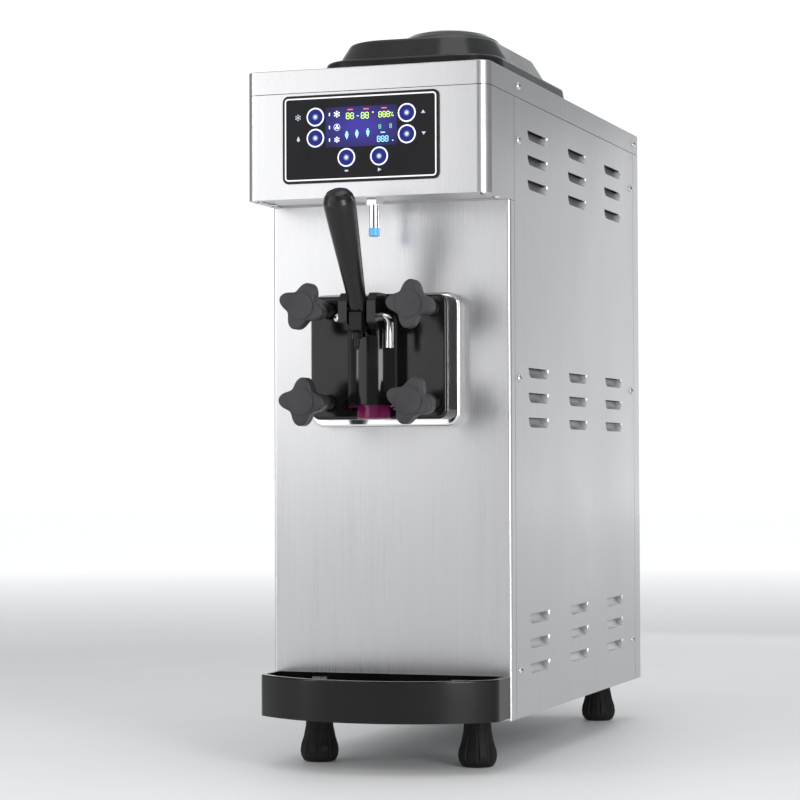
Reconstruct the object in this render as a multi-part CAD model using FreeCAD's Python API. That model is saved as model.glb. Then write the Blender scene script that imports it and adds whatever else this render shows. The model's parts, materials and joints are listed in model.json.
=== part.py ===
"""Countertop soft serve machine, single flavour, as an assembly of separate pieces.

Frame: X to the right seen from the front, Y to the rear, Z up. While the pieces are made, Y is 0 on
the front panel's face and Z is 0 at the cabinet's underside. At the end every piece is moved so that
the origin lies on the floor, midway in X and Y under the whole machine.
"""
import FreeCAD
import Part
import math
import os

from FreeCAD import Vector

# ---------------------------------------------------------------- driving sizes, in mm
CABINET_WIDTH = 240.0
CABINET_DEPTH = 519.0
COVER_TOP = 613.0
COVER_SKIRT = 22.0
HEAD_HEIGHT = 122.0
HEAD_REACH = 70.0
HEAD_CORNER = 11.0
PANEL_CORNER = 3.0
SHEET = 1.2
SEAM = 0.6
WRAP = 14.0
REAR_WRAP = 26.5
PANEL_GAP = 0.8

FOOT_HEIGHT = 45.5
FOOT_INSET_SIDE = 40.0
FOOT_INSET_FRONT = 18.0
FOOT_INSET_REAR = 39.0
FOOT_TOP_RADIUS = 12.8
FOOT_WIDE_RADIUS = 18.6

LOUVRE_LENGTH = 72.0
LOUVRE_HEIGHT = 9.5
LOUVRE_DEPTH = 5.5
LOUVRE_PITCH = 24.0
LOUVRE_FIRST_Y = 61.0
LOUVRE_REAR_INSET = 57.7
LOUVRE_TOP_INSET = 26.4
LOUVRE_LOWEST_Z = 97.0
LOUVRE_MIDDLE_RISE = 3.5

SCREW_HEAD_RADIUS = 4.0
SCREW_HEAD_HEIGHT = 2.0
SCREW_RADIUS = 1.9
SCREW_LENGTH = 7.0
SCREW_FRONT_Y = 30.0
SCREW_REAR_INSET = 39.0
SCREW_TOP_INSET = 41.0
SCREW_LOWEST_Z = 45.0
SCREW_MIDDLE_RISE = 25.5
REAR_SCREW_INSET = 13.0
HEAD_SCREW_INSET = 7.6
HEAD_SCREW_FRONT_INSET = 8.4
HEAD_SCREW_REAR_Y = -22.0

FASCIA_CENTRE_X = -4.5
FASCIA_RISE = 14.0
FASCIA_WIDTH = 155.0
FASCIA_HEIGHT = 83.0
FASCIA_CORNER = 6.0
FASCIA_BORDER = 4.2
FASCIA_PROUD = 1.8
PANEL_PROUD = 1.2
BUTTON_RADIUS = 8.9
BUTTON_GAP = 0.35
BUTTON_PROUD = 1.8
BUTTON_TRAVEL = 0.8
BUTTON_LEFT = -44.4
BUTTON_RIGHT = 46.1
BUTTON_BOTTOM_LEFT = -13.6
BUTTON_BOTTOM_RIGHT = 18.8
BUTTON_UPPER_RISE = 62.2
BUTTON_LOWER_RISE = 42.4
BUTTON_BOTTOM_RISE = 23.0
DISPLAY_LEFT = -33.5
DISPLAY_RIGHT = 36.5
DISPLAY_RISE = 33.5
DISPLAY_HEIGHT = 37.0

HEAD_CENTRE_Z = 342.25
FLANGE_WIDTH = 149.0
FLANGE_HEIGHT = 126.5
FLANGE_DROP = 2.0
FLANGE_DEPTH = 18.0
FLANGE_CORNER = 12.5
BLOCK_WIDTH = 136.0
BLOCK_HEIGHT = 117.0
BLOCK_DEPTH = 18.0
BLOCK_CORNER = 9.0
BARREL_RADIUS = 24.5
BARREL_Y = -47.0
BARREL_DROP = 45.25
BARREL_RISE = 57.75
PISTON_RADIUS = 12.0
PORT_RADIUS = 7.5
PORT_RISE = 18.0
RUNNING_FIT = 0.06

PIVOT_Y = -78.0
PIVOT_RISE = 35.25
PIN_RADIUS = 4.0
EAR_INNER_X = 9.75
EAR_THICKNESS = 8.5
EAR_FRONT_Y = -95.0
EAR_DROP = 11.5
EAR_FRONT_DROP = 5.5
EAR_FRONT_RISE = 15.0
EYE_POCKET_DROP = 16.5
LEVER_ARM = 31.0
HANDLE_SWING = 34.0
FINGER_RADIUS = 5.0
FINGER_HALF_WIDTH = 4.0
FINGER_GAP = 0.6
SLOT_MOUTH = 11.8
GRIP_TILT = 28.5
GRIP_LENGTH = 125.0
GRIP_TOP_RADIUS = 14.8
GRIP_BOTTOM_RADIUS = 7.8

STUD_RADIUS = 4.0
STUD_X = 52.6
STUD_RISE = 45.75
STUD_DROP = 42.75
STUD_END_Y = -93.0
KNOB_FACE_Y = -103.0
KNOB_THICKNESS = 14.0
KNOB_MEAN_RADIUS = 18.6
KNOB_LOBE_RISE = 4.0
KNOB_NECK_RADIUS = 8.2
COLLAR_RADIUS = 6.8
COLLAR_LENGTH = 9.0
KNOB_DISC_RADIUS = 12.5
KNOB_DISC_RISE = 1.0

NOZZLE_RADIUS = 16.0
NOZZLE_HEIGHT = 11.0
NOZZLE_FLANGE_RADIUS = 19.0
NOZZLE_NECK_RADIUS = 13.4
NOZZLE_NECK_HEIGHT = 5.0
NOZZLE_SEAT_GAP = 0.4
WING_REACH = 25.5
WING_THICKNESS = 1.8
WING_HALF_WIDTH = 5.5

SPOUT_Y = -45.0
SPOUT_RADIUS = 5.0
SPOUT_DROP = 27.4
SPOUT_TIP_LENGTH = 8.0
SPOUT_NUT_RADIUS = 9.0
SPOUT_NUT_HEIGHT = 7.0

TRAY_SIDE_INSET = 2.0
TRAY_BOTTOM = 3.0
TRAY_HEIGHT = 39.0
TRAY_REACH = 90.0
TRAY_SIDE_REACH = 42.0
TRAY_CORNER = 16.0
TRAY_WALL = 5.0
TRAY_FLOOR = 3.0
TRAY_GAP = 0.5
HOOK_X = 70.0
HOOK_Z = 30.0
HOOK_HALF_WIDTH = 7.5
TRAY_LIFT = 8.0

CYLINDER_BORE = 45.0
CYLINDER_JACKET = 9.0
CYLINDER_WALL = 3.0
CYLINDER_LENGTH = 215.0
CYLINDER_END = 6.0
BEATER_GAP = 0.7
SHAFT_RADIUS = 10.0

HOPPER_HALF_WIDTH = 78.0
HOPPER_FRONT_Y = 50.0
HOPPER_LENGTH = 250.0
HOPPER_DEPTH = 173.0
HOPPER_WALL = 1.0
HOPPER_RIM = 10.0
FEED_Y = 75.0
FEED_RADIUS = 9.4

LID_WALL = 2.5
LID_SEAT_GAP = 0.3
LID_SIDE_OVERHANG = 6.0
LID_FRONT_OVERHANG = 4.0
LID_REAR_OVERHANG = 30.0
LID_BASE_LEAN = 4.0
LID_BASE_RISE = 26.0
LID_STEP_INSET = 3.5
LID_STEP_FRONT_INSET = 8.0
LID_STEP_REAR_INSET = 48.0
LID_STEP_LEAN = 16.0
LID_STEP_RISE = 47.0
LID_CROWN_RISE = 73.0
CROWN_BACK = 140.0
CROWN_RADIUS = 62.0

PULLEY_RADIUS = 52.0
MOTOR_PULLEY_RADIUS = 20.8
PULLEY_Y = 322.0
PULLEY_WIDTH = 20.0
BELT_WIDTH = 10.0
BELT_THICKNESS = 7.0
BELT_GAP = 0.35
MOTOR_Z = 195.0
MOTOR_RADIUS = 48.0
SHELF_TOP = 144.0
GEAR_SHAFT_RADIUS = 7.0

FAN_Z = 125.0
FAN_INSET = 15.0
FAN_TIP_GAP = 3.0
CONDENSER_SIDE_GAP = 23.8
CONDENSER_DEPTH = 38.0
CONDENSER_FINS = 24
FAN_SET_OFF = 16.0
PIPE_SIDE_GAP = 14.8
RETURN_PIPE_SIDE_GAP = 26.8
POWER_BOARD_TOP_INSET = 50.4
POWER_BOARD_HEIGHT = 120.0
GLAND_SIDE_INSET = 50.0
REAR_SLOT_ROWS = 14
REAR_SLOT_LOWEST_Z = 34.0
REAR_SLOT_PITCH = 13.5
REAR_SLOT_HEIGHT = 5.0
REAR_SLOT_HALF_GAP = 6.0
REAR_SLOT_SIDE_INSET = 36.0
REAR_SLOT_CORNER = 2.4
GLAND_Z = 262.0
GLAND_RADIUS = 10.0
CORD_RADIUS = 4.0
COMPRESSOR_Y = 96.0
COMPRESSOR_RADIUS = 58.0
SHELF_FRONT_Y = 200.0
SHELF_REAR_Y = 330.0
LIP_HEIGHT = 15.0
POST_LEG = 40.0
POST_SHORT_LEG = 19.0
POST_SHEET = 1.5
POST_BEVEL = 3.3
PAN_SHEET = 1.5
RAIL_HEIGHT = 18.0
HEAD_LIP = 9.0
SEAL_CORD = 1.6
SEAL_INSET = 4.5
CONDENSER_TOP = 235.0

# ---------------------------------------------------------------- worked-out places
HALF = CABINET_WIDTH / 2.0
INSIDE = HALF - SHEET
GLAND_X = -(HALF - GLAND_SIDE_INSET)
REAR_INSIDE = CABINET_DEPTH - SHEET
SEAM_TOP = COVER_TOP - COVER_SKIRT
PANEL_TOP = SEAM_TOP - SEAM
HEAD_BOTTOM = COVER_TOP - HEAD_HEIGHT
FASCIA_BOTTOM = HEAD_BOTTOM + FASCIA_RISE
SPOUT_BOTTOM = HEAD_BOTTOM - SPOUT_DROP
HOPPER_BOTTOM = COVER_TOP - HOPPER_DEPTH
FOOT_X = HALF - FOOT_INSET_SIDE
TRAY_HALF_WIDTH = HALF - TRAY_SIDE_INSET
SIDE_FRONT_Y = WRAP + PANEL_GAP
REAR_PANEL_Y = CABINET_DEPTH - REAR_WRAP
SIDE_REAR_Y = REAR_PANEL_Y - PANEL_GAP
LOUVRE_LAST_Y = SIDE_REAR_Y - LOUVRE_REAR_INSET - LOUVRE_LENGTH
LOUVRE_COLUMNS = (LOUVRE_FIRST_Y, (LOUVRE_FIRST_Y + LOUVRE_LAST_Y) / 2.0, LOUVRE_LAST_Y)
LOUVRE_HIGHEST_Z = PANEL_TOP - LOUVRE_TOP_INSET
LOUVRE_MIDDLE_Z = (LOUVRE_HIGHEST_Z + LOUVRE_LOWEST_Z) / 2.0 + LOUVRE_MIDDLE_RISE
LOUVRE_GROUPS = (LOUVRE_HIGHEST_Z, LOUVRE_MIDDLE_Z, LOUVRE_LOWEST_Z)
SCREW_HIGHEST_Z = SEAM_TOP - SCREW_TOP_INSET
SCREW_MIDDLE_Z = (SCREW_HIGHEST_Z + SCREW_LOWEST_Z) / 2.0 + SCREW_MIDDLE_RISE
SCREW_LEVELS = (SCREW_HIGHEST_Z, SCREW_MIDDLE_Z, SCREW_LOWEST_Z)
SCREW_REAR_Y = CABINET_DEPTH - SCREW_REAR_INSET
COVER_SCREW_Z = SEAM_TOP + COVER_SKIRT / 2.0
COVER_SCREW_REAR_Y = CABINET_DEPTH - 21.0
FOOT_REAR_Y = CABINET_DEPTH - FOOT_INSET_REAR
BUTTONS = {
    "button_left_upper": (FASCIA_CENTRE_X + BUTTON_LEFT, FASCIA_BOTTOM + BUTTON_UPPER_RISE),
    "button_left_lower": (FASCIA_CENTRE_X + BUTTON_LEFT, FASCIA_BOTTOM + BUTTON_LOWER_RISE),
    "button_bottom_left": (FASCIA_CENTRE_X + BUTTON_BOTTOM_LEFT, FASCIA_BOTTOM + BUTTON_BOTTOM_RISE),
    "button_bottom_right": (FASCIA_CENTRE_X + BUTTON_BOTTOM_RIGHT, FASCIA_BOTTOM + BUTTON_BOTTOM_RISE),
    "button_right_upper": (FASCIA_CENTRE_X + BUTTON_RIGHT, FASCIA_BOTTOM + BUTTON_UPPER_RISE),
    "button_right_lower": (FASCIA_CENTRE_X + BUTTON_RIGHT, FASCIA_BOTTOM + BUTTON_LOWER_RISE),
}
BARREL_BOTTOM = HEAD_CENTRE_Z - BARREL_DROP
BARREL_TOP = HEAD_CENTRE_Z + BARREL_RISE
PIVOT_Z = HEAD_CENTRE_Z + PIVOT_RISE
STUD_UPPER_Z = HEAD_CENTRE_Z + STUD_RISE
STUD_LOWER_Z = HEAD_CENTRE_Z - STUD_DROP
KNOBS = {
    "knob_upper_left": (-STUD_X, STUD_UPPER_Z, -22.0),
    "knob_upper_right": (STUD_X, STUD_UPPER_Z, -6.0),
    "knob_lower_left": (-STUD_X, STUD_LOWER_Z, -5.0),
    "knob_lower_right": (STUD_X, STUD_LOWER_Z, -19.0),
}
CYLINDER_OUTER = CYLINDER_BORE + CYLINDER_JACKET
CYLINDER_FRONT_OUTER = CYLINDER_BORE + CYLINDER_WALL
SEAL_RING_RADIUS = CYLINDER_BORE + SEAL_INSET
BLOCK_FRONT_Y = -FLANGE_DEPTH - BLOCK_DEPTH
KNOB_BACK_Y = KNOB_FACE_Y + KNOB_THICKNESS
COLLAR_FRONT_Y = BLOCK_FRONT_Y - COLLAR_LENGTH
CONDENSER_REAR_Y = CABINET_DEPTH - 19.0
CONDENSER_FRONT_Y = CONDENSER_REAR_Y - CONDENSER_DEPTH
CONDENSER_HALF_WIDTH = INSIDE - CONDENSER_SIDE_GAP
FAN_RADIUS = CONDENSER_HALF_WIDTH - FAN_INSET
FAN_OPENING = FAN_RADIUS + FAN_TIP_GAP
FAN_Y = CONDENSER_FRONT_Y - FAN_SET_OFF
PIPE_X = INSIDE - PIPE_SIDE_GAP
HALF_SWING = math.radians(HANDLE_SWING / 2.0)
FINGER_REACH = LEVER_ARM / math.cos(HALF_SWING)
FINGER_Z = PIVOT_Z - FINGER_REACH * math.sin(HALF_SWING)
PISTON_STROKE = 2.0 * FINGER_REACH * math.sin(HALF_SWING)
LID_BASE_Z = COVER_TOP + HOPPER_WALL + LID_SEAT_GAP
LID_HALF_WIDTH = HOPPER_HALF_WIDTH + HOPPER_RIM + LID_SIDE_OVERHANG
LID_FRONT_Y = HOPPER_FRONT_Y - HOPPER_RIM - LID_FRONT_OVERHANG
LID_REAR_Y = HOPPER_FRONT_Y + HOPPER_LENGTH + HOPPER_RIM + LID_REAR_OVERHANG
LID_STEP_HALF = LID_HALF_WIDTH - LID_STEP_INSET
CROWN_Y = HOPPER_FRONT_Y + CROWN_BACK

os.makedirs("parts", exist_ok=True)
pieces = {}


# ---------------------------------------------------------------- small shape helpers
def keep(name, shape):
    """Give a finished piece its node name."""
    pieces[name] = shape


def block(x0, x1, y0, y1, z0, z1):
    """A box between two corners."""
    return Part.makeBox(x1 - x0, y1 - y0, z1 - z0, Vector(x0, y0, z0))


def rod_y(radius, x, z, y0, y1):
    """A round bar along Y."""
    return Part.makeCylinder(radius, y1 - y0, Vector(x, y0, z), Vector(0, 1, 0))


def rod_z(radius, x, y, z0, z1):
    """A round bar along Z."""
    return Part.makeCylinder(radius, z1 - z0, Vector(x, y, z0), Vector(0, 0, 1))


def rod_x(radius, y, z, x0, x1):
    """A round bar along X."""
    return Part.makeCylinder(radius, x1 - x0, Vector(x0, y, z), Vector(1, 0, 0))


def join(first, others):
    """One solid from touching or overlapping shapes."""
    return first.multiFuse(others).removeSplitter()


def mirrored(shape):
    """The same shape on the other side of the machine's middle."""
    return shape.mirror(Vector(0, 0, 0), Vector(1, 0, 0))


def round_edges(shape, radius, wanted):
    """Fillet the edges that the test picks out."""
    return shape.makeFillet(radius, [edge for edge in shape.Edges if wanted(edge)])


def is_upright(edge, along):
    """Whether a straight edge runs along one axis: 0 for X, 1 for Y, 2 for Z."""
    if not isinstance(edge.Curve, (Part.Line, Part.LineSegment)):
        return False
    ends = [vertex.Point for vertex in edge.Vertexes]
    span = [abs(ends[0][k] - ends[1][k]) for k in range(3)]
    return span[along] > 1e-6 and sum(span) - span[along] < 1e-6


def plate_xz(x0, x1, z0, z1, y0, y1, corner):
    """A plate facing front, with its four corners rounded."""
    plain = block(x0, x1, y0, y1, z0, z1)
    return round_edges(plain, corner, lambda edge: is_upright(edge, 1))


def plan_prism(x0, x1, y0, y1, z0, z1, front_corner, rear_corner):
    """A box with its upright edges rounded, front and rear apart."""
    plain = block(x0, x1, y0, y1, z0, z1)
    middle = (y0 + y1) / 2.0
    if front_corner > 0:
        plain = round_edges(
            plain, front_corner, lambda e: is_upright(e, 2) and e.CenterOfMass.y < middle
        )
    if rear_corner > 0:
        plain = round_edges(
            plain, rear_corner, lambda e: is_upright(e, 2) and e.CenterOfMass.y > middle
        )
    return plain


def outline(points):
    """A closed wire through straight runs."""
    return Part.makePolygon([Vector(*p) for p in points] + [Vector(*points[0])])


def slab_x(points, x0, x1):
    """A plate of a Y,Z outline, from one X to another."""
    face = Part.Face(outline([(x0, y, z) for y, z in points]))
    return face.extrude(Vector(x1 - x0, 0, 0))


def rounded_plan(half_width, y0, y1, z, corner):
    """A rounded rectangle lying level, as a wire."""
    corner = min(corner, half_width - 1.0, (y1 - y0) / 2.0 - 1.0)
    x0 = -half_width
    x1 = half_width
    slant = corner * (1.0 - math.sqrt(0.5))
    edges = []
    corners = (
        ((x1 - corner, y0), (x1 - slant, y0 + slant), (x1, y0 + corner)),
        ((x1, y1 - corner), (x1 - slant, y1 - slant), (x1 - corner, y1)),
        ((x0 + corner, y1), (x0 + slant, y1 - slant), (x0, y1 - corner)),
        ((x0, y0 + corner), (x0 + slant, y0 + slant), (x0 + corner, y0)),
    )
    for index, (start, middle, end) in enumerate(corners):
        arc = Part.Arc(*(Vector(x, y, z) for x, y in (start, middle, end)))
        edges.append(arc.toShape())
        following = corners[(index + 1) % 4][0]
        edges.append(Part.LineSegment(Vector(end[0], end[1], z), Vector(*following, z)).toShape())
    return Part.Wire(edges)


def tier(half_low, half_high, y0, y1, draw, z0, z1, corner_low, corner_high):
    """A moulded step with leaning walls: draw is how far its ends lean in over the height."""
    low = rounded_plan(half_low, y0, y1, z0, corner_low)
    high = rounded_plan(half_high, y0 + draw, y1 - draw, z1, corner_high)
    return Part.makeLoft([low, high], True, True)


def turned(profile, x, y):
    """A solid of revolution about an upright axis, from radius and height pairs."""
    wire = outline([(r, 0, z) for r, z in profile])
    solid = Part.Face(wire).revolve(Vector(0, 0, 0), Vector(0, 0, 1), 360)
    solid.translate(Vector(x, y, 0))
    return solid


def bent_tube(points, radius, bend):
    """A round tube's outer form along straight runs joined by tangent arcs."""
    points = [Vector(*p) for p in points]
    edges = []
    start = points[0]
    for before, corner, after in zip(points, points[1:], points[2:]):
        inward = (before - corner).normalize()
        outward = (after - corner).normalize()
        half_turn = inward.getAngle(outward) / 2.0
        setback = bend / math.tan(half_turn)
        enter = corner + inward * setback
        leave = corner + outward * setback
        toward = (inward + outward).normalize()
        middle = corner + toward * (bend / math.sin(half_turn) - bend)
        edges.append(Part.LineSegment(start, enter).toShape())
        edges.append(Part.Arc(enter, middle, leave).toShape())
        start = leave
    edges.append(Part.LineSegment(start, points[-1]).toShape())
    path = Part.Wire(edges)
    ring = Part.Wire(Part.makeCircle(radius, points[0], points[1] - points[0]))
    return path.makePipeShell([ring], True, False)


# ---------------------------------------------------------------- fasteners
def pan_screw():
    """A pan head screw with a cross recess: head on +Z from 0 up, shank below."""
    head = rod_z(SCREW_HEAD_RADIUS, 0, 0, 0, SCREW_HEAD_HEIGHT)
    head = round_edges(head, 1.2, lambda e: e.CenterOfMass.z > SCREW_HEAD_HEIGHT - 0.01
                       and isinstance(e.Curve, Part.Circle))
    slot_half = SCREW_HEAD_RADIUS * 0.55
    for long_x, long_y in ((slot_half, 0.45), (0.45, slot_half)):
        head = head.cut(block(-long_x, long_x, -long_y, long_y, SCREW_HEAD_HEIGHT - 1.2,
                              SCREW_HEAD_HEIGHT + 1.0))
    return join(head, [rod_z(SCREW_RADIUS, 0, 0, -SCREW_LENGTH, 0)])


def side_screw_places():
    """Where the casing screws go on the right-hand side: Y and Z."""
    places = [(y, z) for y in (SCREW_FRONT_Y, SCREW_REAR_Y) for z in SCREW_LEVELS]
    return places + [(SCREW_FRONT_Y, COVER_SCREW_Z), (COVER_SCREW_REAR_Y, COVER_SCREW_Z)]


def rear_screw_places():
    """Where the casing screws go on the back: X and Z."""
    return [(x, z) for x in (-HALF + REAR_SCREW_INSET, HALF - REAR_SCREW_INSET)
            for z in SCREW_LEVELS]


def head_screw_places():
    """Where small screws hold the head's floor, from below: X and Y."""
    x = HALF - HEAD_SCREW_INSET
    front = -HEAD_REACH + HEAD_SCREW_FRONT_INSET
    return [(side, y) for side in (-x, x) for y in (front, HEAD_SCREW_REAR_Y)]


def drill_casing(shape):
    """Open every casing screw's hole through a panel or a post."""
    holes = []
    for y, z in side_screw_places():
        holes.append(rod_x(SCREW_RADIUS, y, z, -HALF - 5, -HALF + SCREW_LENGTH + 5))
        holes.append(rod_x(SCREW_RADIUS, y, z, HALF - SCREW_LENGTH - 5, HALF + 5))
    for x, z in rear_screw_places():
        holes.append(rod_y(SCREW_RADIUS, x, z, CABINET_DEPTH - SCREW_LENGTH - 5, CABINET_DEPTH + 5))
    return shape.cut(holes)


def drill_head_floor(shape):
    """Open the holes of the screws that hold the head's floor."""
    holes = [rod_z(SCREW_RADIUS, x, y, HEAD_BOTTOM - 5, HEAD_BOTTOM + 10)
             for x, y in head_screw_places()]
    return shape.cut(holes)


def make_screws():
    screws = []
    for y, z in side_screw_places():
        right = pan_screw()
        right.rotate(Vector(0, 0, 0), Vector(0, 1, 0), 90)
        right.translate(Vector(HALF, y, z))
        screws.append(right)
        screws.append(mirrored(right))
    for x, z in rear_screw_places():
        rear = pan_screw()
        rear.rotate(Vector(0, 0, 0), Vector(1, 0, 0), -90)
        rear.translate(Vector(x, CABINET_DEPTH, z))
        screws.append(rear)
    for x, y in head_screw_places():
        under = pan_screw()
        under.rotate(Vector(0, 0, 0), Vector(1, 0, 0), 180)
        under.translate(Vector(x, y, HEAD_BOTTOM))
        screws.append(under)
    keep("casing_screws", Part.makeCompound(screws))


# ---------------------------------------------------------------- chassis
def foot_places():
    return [(x, y) for x in (-FOOT_X, FOOT_X) for y in (FOOT_INSET_FRONT, FOOT_REAR_Y)]


def make_base_pan():
    pan = block(-INSIDE, INSIDE, SHEET, REAR_INSIDE, 0, PAN_SHEET)
    pan = round_edges(pan, PANEL_CORNER - SHEET, lambda e: is_upright(e, 2))
    lip_y0 = SHEET + POST_LEG + 8.0
    lip_y1 = REAR_INSIDE - POST_LEG - 8.0
    right = block(INSIDE - PAN_SHEET, INSIDE, lip_y0, lip_y1, 0, LIP_HEIGHT)
    front = block(-INSIDE + 24, INSIDE - 24, SHEET, SHEET + PAN_SHEET, 0, LIP_HEIGHT)
    rear = block(-INSIDE + 24, INSIDE - 24, REAR_INSIDE - PAN_SHEET, REAR_INSIDE, 0, LIP_HEIGHT)
    pan = join(pan, [right, mirrored(right), front, rear])
    holes = [rod_z(STUD_RADIUS, x, y, -1, PAN_SHEET + 1) for x, y in foot_places()]
    vent_y = [200.0 + 16.0 * k for k in range(9)]
    for y in vent_y:
        slot = block(-45, 45, y, y + 6, -1, PAN_SHEET + 1)
        holes.append(round_edges(slot, 2.9, lambda e: is_upright(e, 2)))
    keep("base_pan", pan.cut(holes))


def post_outline():
    """The right front post's section, as X and Y: a bevelled angle."""
    out = INSIDE
    near = SHEET
    inner = POST_SHEET * 0.6
    return [
        (out - POST_SHORT_LEG, near),
        (out - POST_BEVEL, near),
        (out, near + POST_BEVEL),
        (out, near + POST_LEG),
        (out - POST_SHEET, near + POST_LEG),
        (out - POST_SHEET, near + POST_BEVEL + inner),
        (out - POST_BEVEL - inner, near + POST_SHEET),
        (out - POST_SHORT_LEG, near + POST_SHEET),
    ]


def make_frame():
    section = Part.Face(outline([(x, y, PAN_SHEET) for x, y in post_outline()]))
    post_top = COVER_TOP - SHEET
    front = section.extrude(Vector(0, 0, post_top - PAN_SHEET))
    rear = front.mirror(Vector(0, CABINET_DEPTH / 2.0, 0), Vector(0, 1, 0))
    y0 = SHEET + POST_LEG
    y1 = REAR_INSIDE - POST_LEG
    upper = PANEL_TOP - RAIL_HEIGHT - 2.0
    low = SHELF_TOP - RAIL_HEIGHT
    rail_top = block(INSIDE - POST_SHEET, INSIDE, y0, y1, upper, upper + RAIL_HEIGHT)
    ledge = block(INSIDE - 18, INSIDE, y0, y1, upper + RAIL_HEIGHT - POST_SHEET, upper + RAIL_HEIGHT)
    rail_low = block(INSIDE - POST_SHEET, INSIDE, y0, y1, low, SHELF_TOP)
    side = [front, rear, rail_top, ledge, rail_low]
    x0 = INSIDE - POST_SHORT_LEG
    front_rail = block(-x0, x0, SHEET, SHEET + POST_SHEET, HEAD_BOTTOM - 26, HEAD_BOTTOM - 4)
    rear_rail = block(-x0, x0, REAR_INSIDE - POST_SHEET, REAR_INSIDE, upper, upper + RAIL_HEIGHT)
    shelf = block(-INSIDE, INSIDE, SHELF_FRONT_Y, SHELF_REAR_Y, SHELF_TOP - POST_SHEET, SHELF_TOP)
    frame = join(shelf, side + [mirrored(part) for part in side] + [front_rail, rear_rail])
    keep("frame", drill_casing(frame))


def fluted_foot():
    """A moulded rubber foot with its stud, standing on Z 0 less the foot's height."""
    h = FOOT_HEIGHT
    wide = FOOT_WIDE_RADIUS
    top = FOOT_TOP_RADIUS
    profile = [(0, 0), (wide - 6.0, 0), (wide - 3.2, 1.2), (wide - 0.8, 5.5), (wide, 10.5),
               (wide - 0.7, 16), (wide - 3.2, 24), (top + 0.6, 34), (top, h), (0, h)]
    foot = turned(profile, 0, 0)
    flutes = []
    for k in range(10):
        angle = math.radians(36.0 * k)
        reach = wide + 1.6
        low = Vector(reach * math.cos(angle), reach * math.sin(angle), 3.0)
        high = Vector((top + 1.2) * math.cos(angle), (top + 1.2) * math.sin(angle), h - 3.0)
        flutes.append(Part.makeCylinder(2.2, (high - low).Length, low, high - low))
    foot = foot.cut(flutes)
    return join(foot, [rod_z(STUD_RADIUS, 0, 0, h - 0.5, h + PAN_SHEET + 6.0)])


def make_feet():
    feet = []
    for x, y in foot_places():
        foot = fluted_foot()
        foot.translate(Vector(x, y, -FOOT_HEIGHT))
        feet.append(foot)
    keep("feet", Part.makeCompound(feet))


# ---------------------------------------------------------------- sheet casing
def louvre_form(radius, y0, y1, z_top, offset):
    """The lower inner part of a long capsule: the form that presses one louvre."""
    centre_x = HALF + offset
    form = rod_y(radius, centre_x, z_top, y0 + LOUVRE_HEIGHT, y1 - LOUVRE_HEIGHT)
    for y in (y0 + LOUVRE_HEIGHT, y1 - LOUVRE_HEIGHT):
        form = form.fuse(Part.makeSphere(radius, Vector(centre_x, y, z_top)))
    return form.common(block(HALF - 30, HALF, y0 - 20, y1 + 20, z_top - 30, z_top))


def make_side_panels():
    """A flat side with nine louvres pressed inward, each open along its top."""
    radius = (LOUVRE_HEIGHT ** 2 + LOUVRE_DEPTH ** 2) / (2.0 * LOUVRE_DEPTH)
    offset = radius - LOUVRE_DEPTH
    sheet = block(INSIDE, HALF, SIDE_FRONT_Y, SIDE_REAR_Y, SEAM, PANEL_TOP)
    hoods = []
    windows = []
    for y0 in LOUVRE_COLUMNS:
        for z_group in LOUVRE_GROUPS:
            for row in range(3):
                z_top = z_group - row * LOUVRE_PITCH
                outer = louvre_form(radius + SHEET, y0, y0 + LOUVRE_LENGTH, z_top, offset)
                inner = louvre_form(radius, y0, y0 + LOUVRE_LENGTH, z_top, offset)
                windows.append(inner)
                hoods.append(outer.cut(inner))
    sheet = join(sheet, hoods).cut(windows)
    panel = drill_casing(sheet)
    keep("right_side_panel", panel)
    keep("left_side_panel", mirrored(panel))


def hook():
    """A welded hook on the front panel that the drip tray hangs on."""
    neck = block(HOOK_X - HOOK_HALF_WIDTH, HOOK_X + HOOK_HALF_WIDTH, -9.0, 0, HOOK_Z, HOOK_Z + 2.5)
    lip = block(HOOK_X - HOOK_HALF_WIDTH, HOOK_X + HOOK_HALF_WIDTH, -9.0, -6.8, HOOK_Z, HOOK_Z + 8.0)
    return neck.fuse(lip)


def make_front_panel():
    top = HEAD_BOTTOM - SEAM
    outer = plan_prism(-HALF, HALF, 0, WRAP, SEAM, top, PANEL_CORNER, 0)
    inner = plan_prism(-INSIDE, INSIDE, SHEET, WRAP + 1, SEAM - 1, top + 1, PANEL_CORNER - SHEET, 0)
    opening = rod_y(CYLINDER_FRONT_OUTER + 0.3, 0, HEAD_CENTRE_Z, -1, WRAP)
    panel = outer.cut([inner, opening])
    keep("front_panel", join(panel, [hook(), mirrored(hook())]))


def make_rear_panel():
    outer = plan_prism(-HALF, HALF, REAR_PANEL_Y, CABINET_DEPTH, SEAM, PANEL_TOP, 0, PANEL_CORNER)
    inner = plan_prism(-INSIDE, INSIDE, REAR_PANEL_Y - 1, REAR_INSIDE, SEAM - 1, PANEL_TOP + 1, 0,
                       PANEL_CORNER - SHEET)
    panel = outer.cut(inner)
    slots = []
    slot_end = HALF - REAR_SLOT_SIDE_INSET
    for row in range(REAR_SLOT_ROWS):
        z = REAR_SLOT_LOWEST_Z + REAR_SLOT_PITCH * row
        for x0, x1 in ((-slot_end, -REAR_SLOT_HALF_GAP), (REAR_SLOT_HALF_GAP, slot_end)):
            slot = block(x0, x1, REAR_INSIDE - 1, CABINET_DEPTH + 1, z, z + REAR_SLOT_HEIGHT)
            slots.append(round_edges(slot, REAR_SLOT_CORNER, lambda e: is_upright(e, 1)))
    slots.append(rod_y(GLAND_RADIUS, GLAND_X, GLAND_Z, REAR_INSIDE - 1, CABINET_DEPTH + 1))
    keep("rear_panel", drill_casing(panel.cut(slots)))


def fascia_window_inset():
    return FASCIA_BORDER + 5.0


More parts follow.
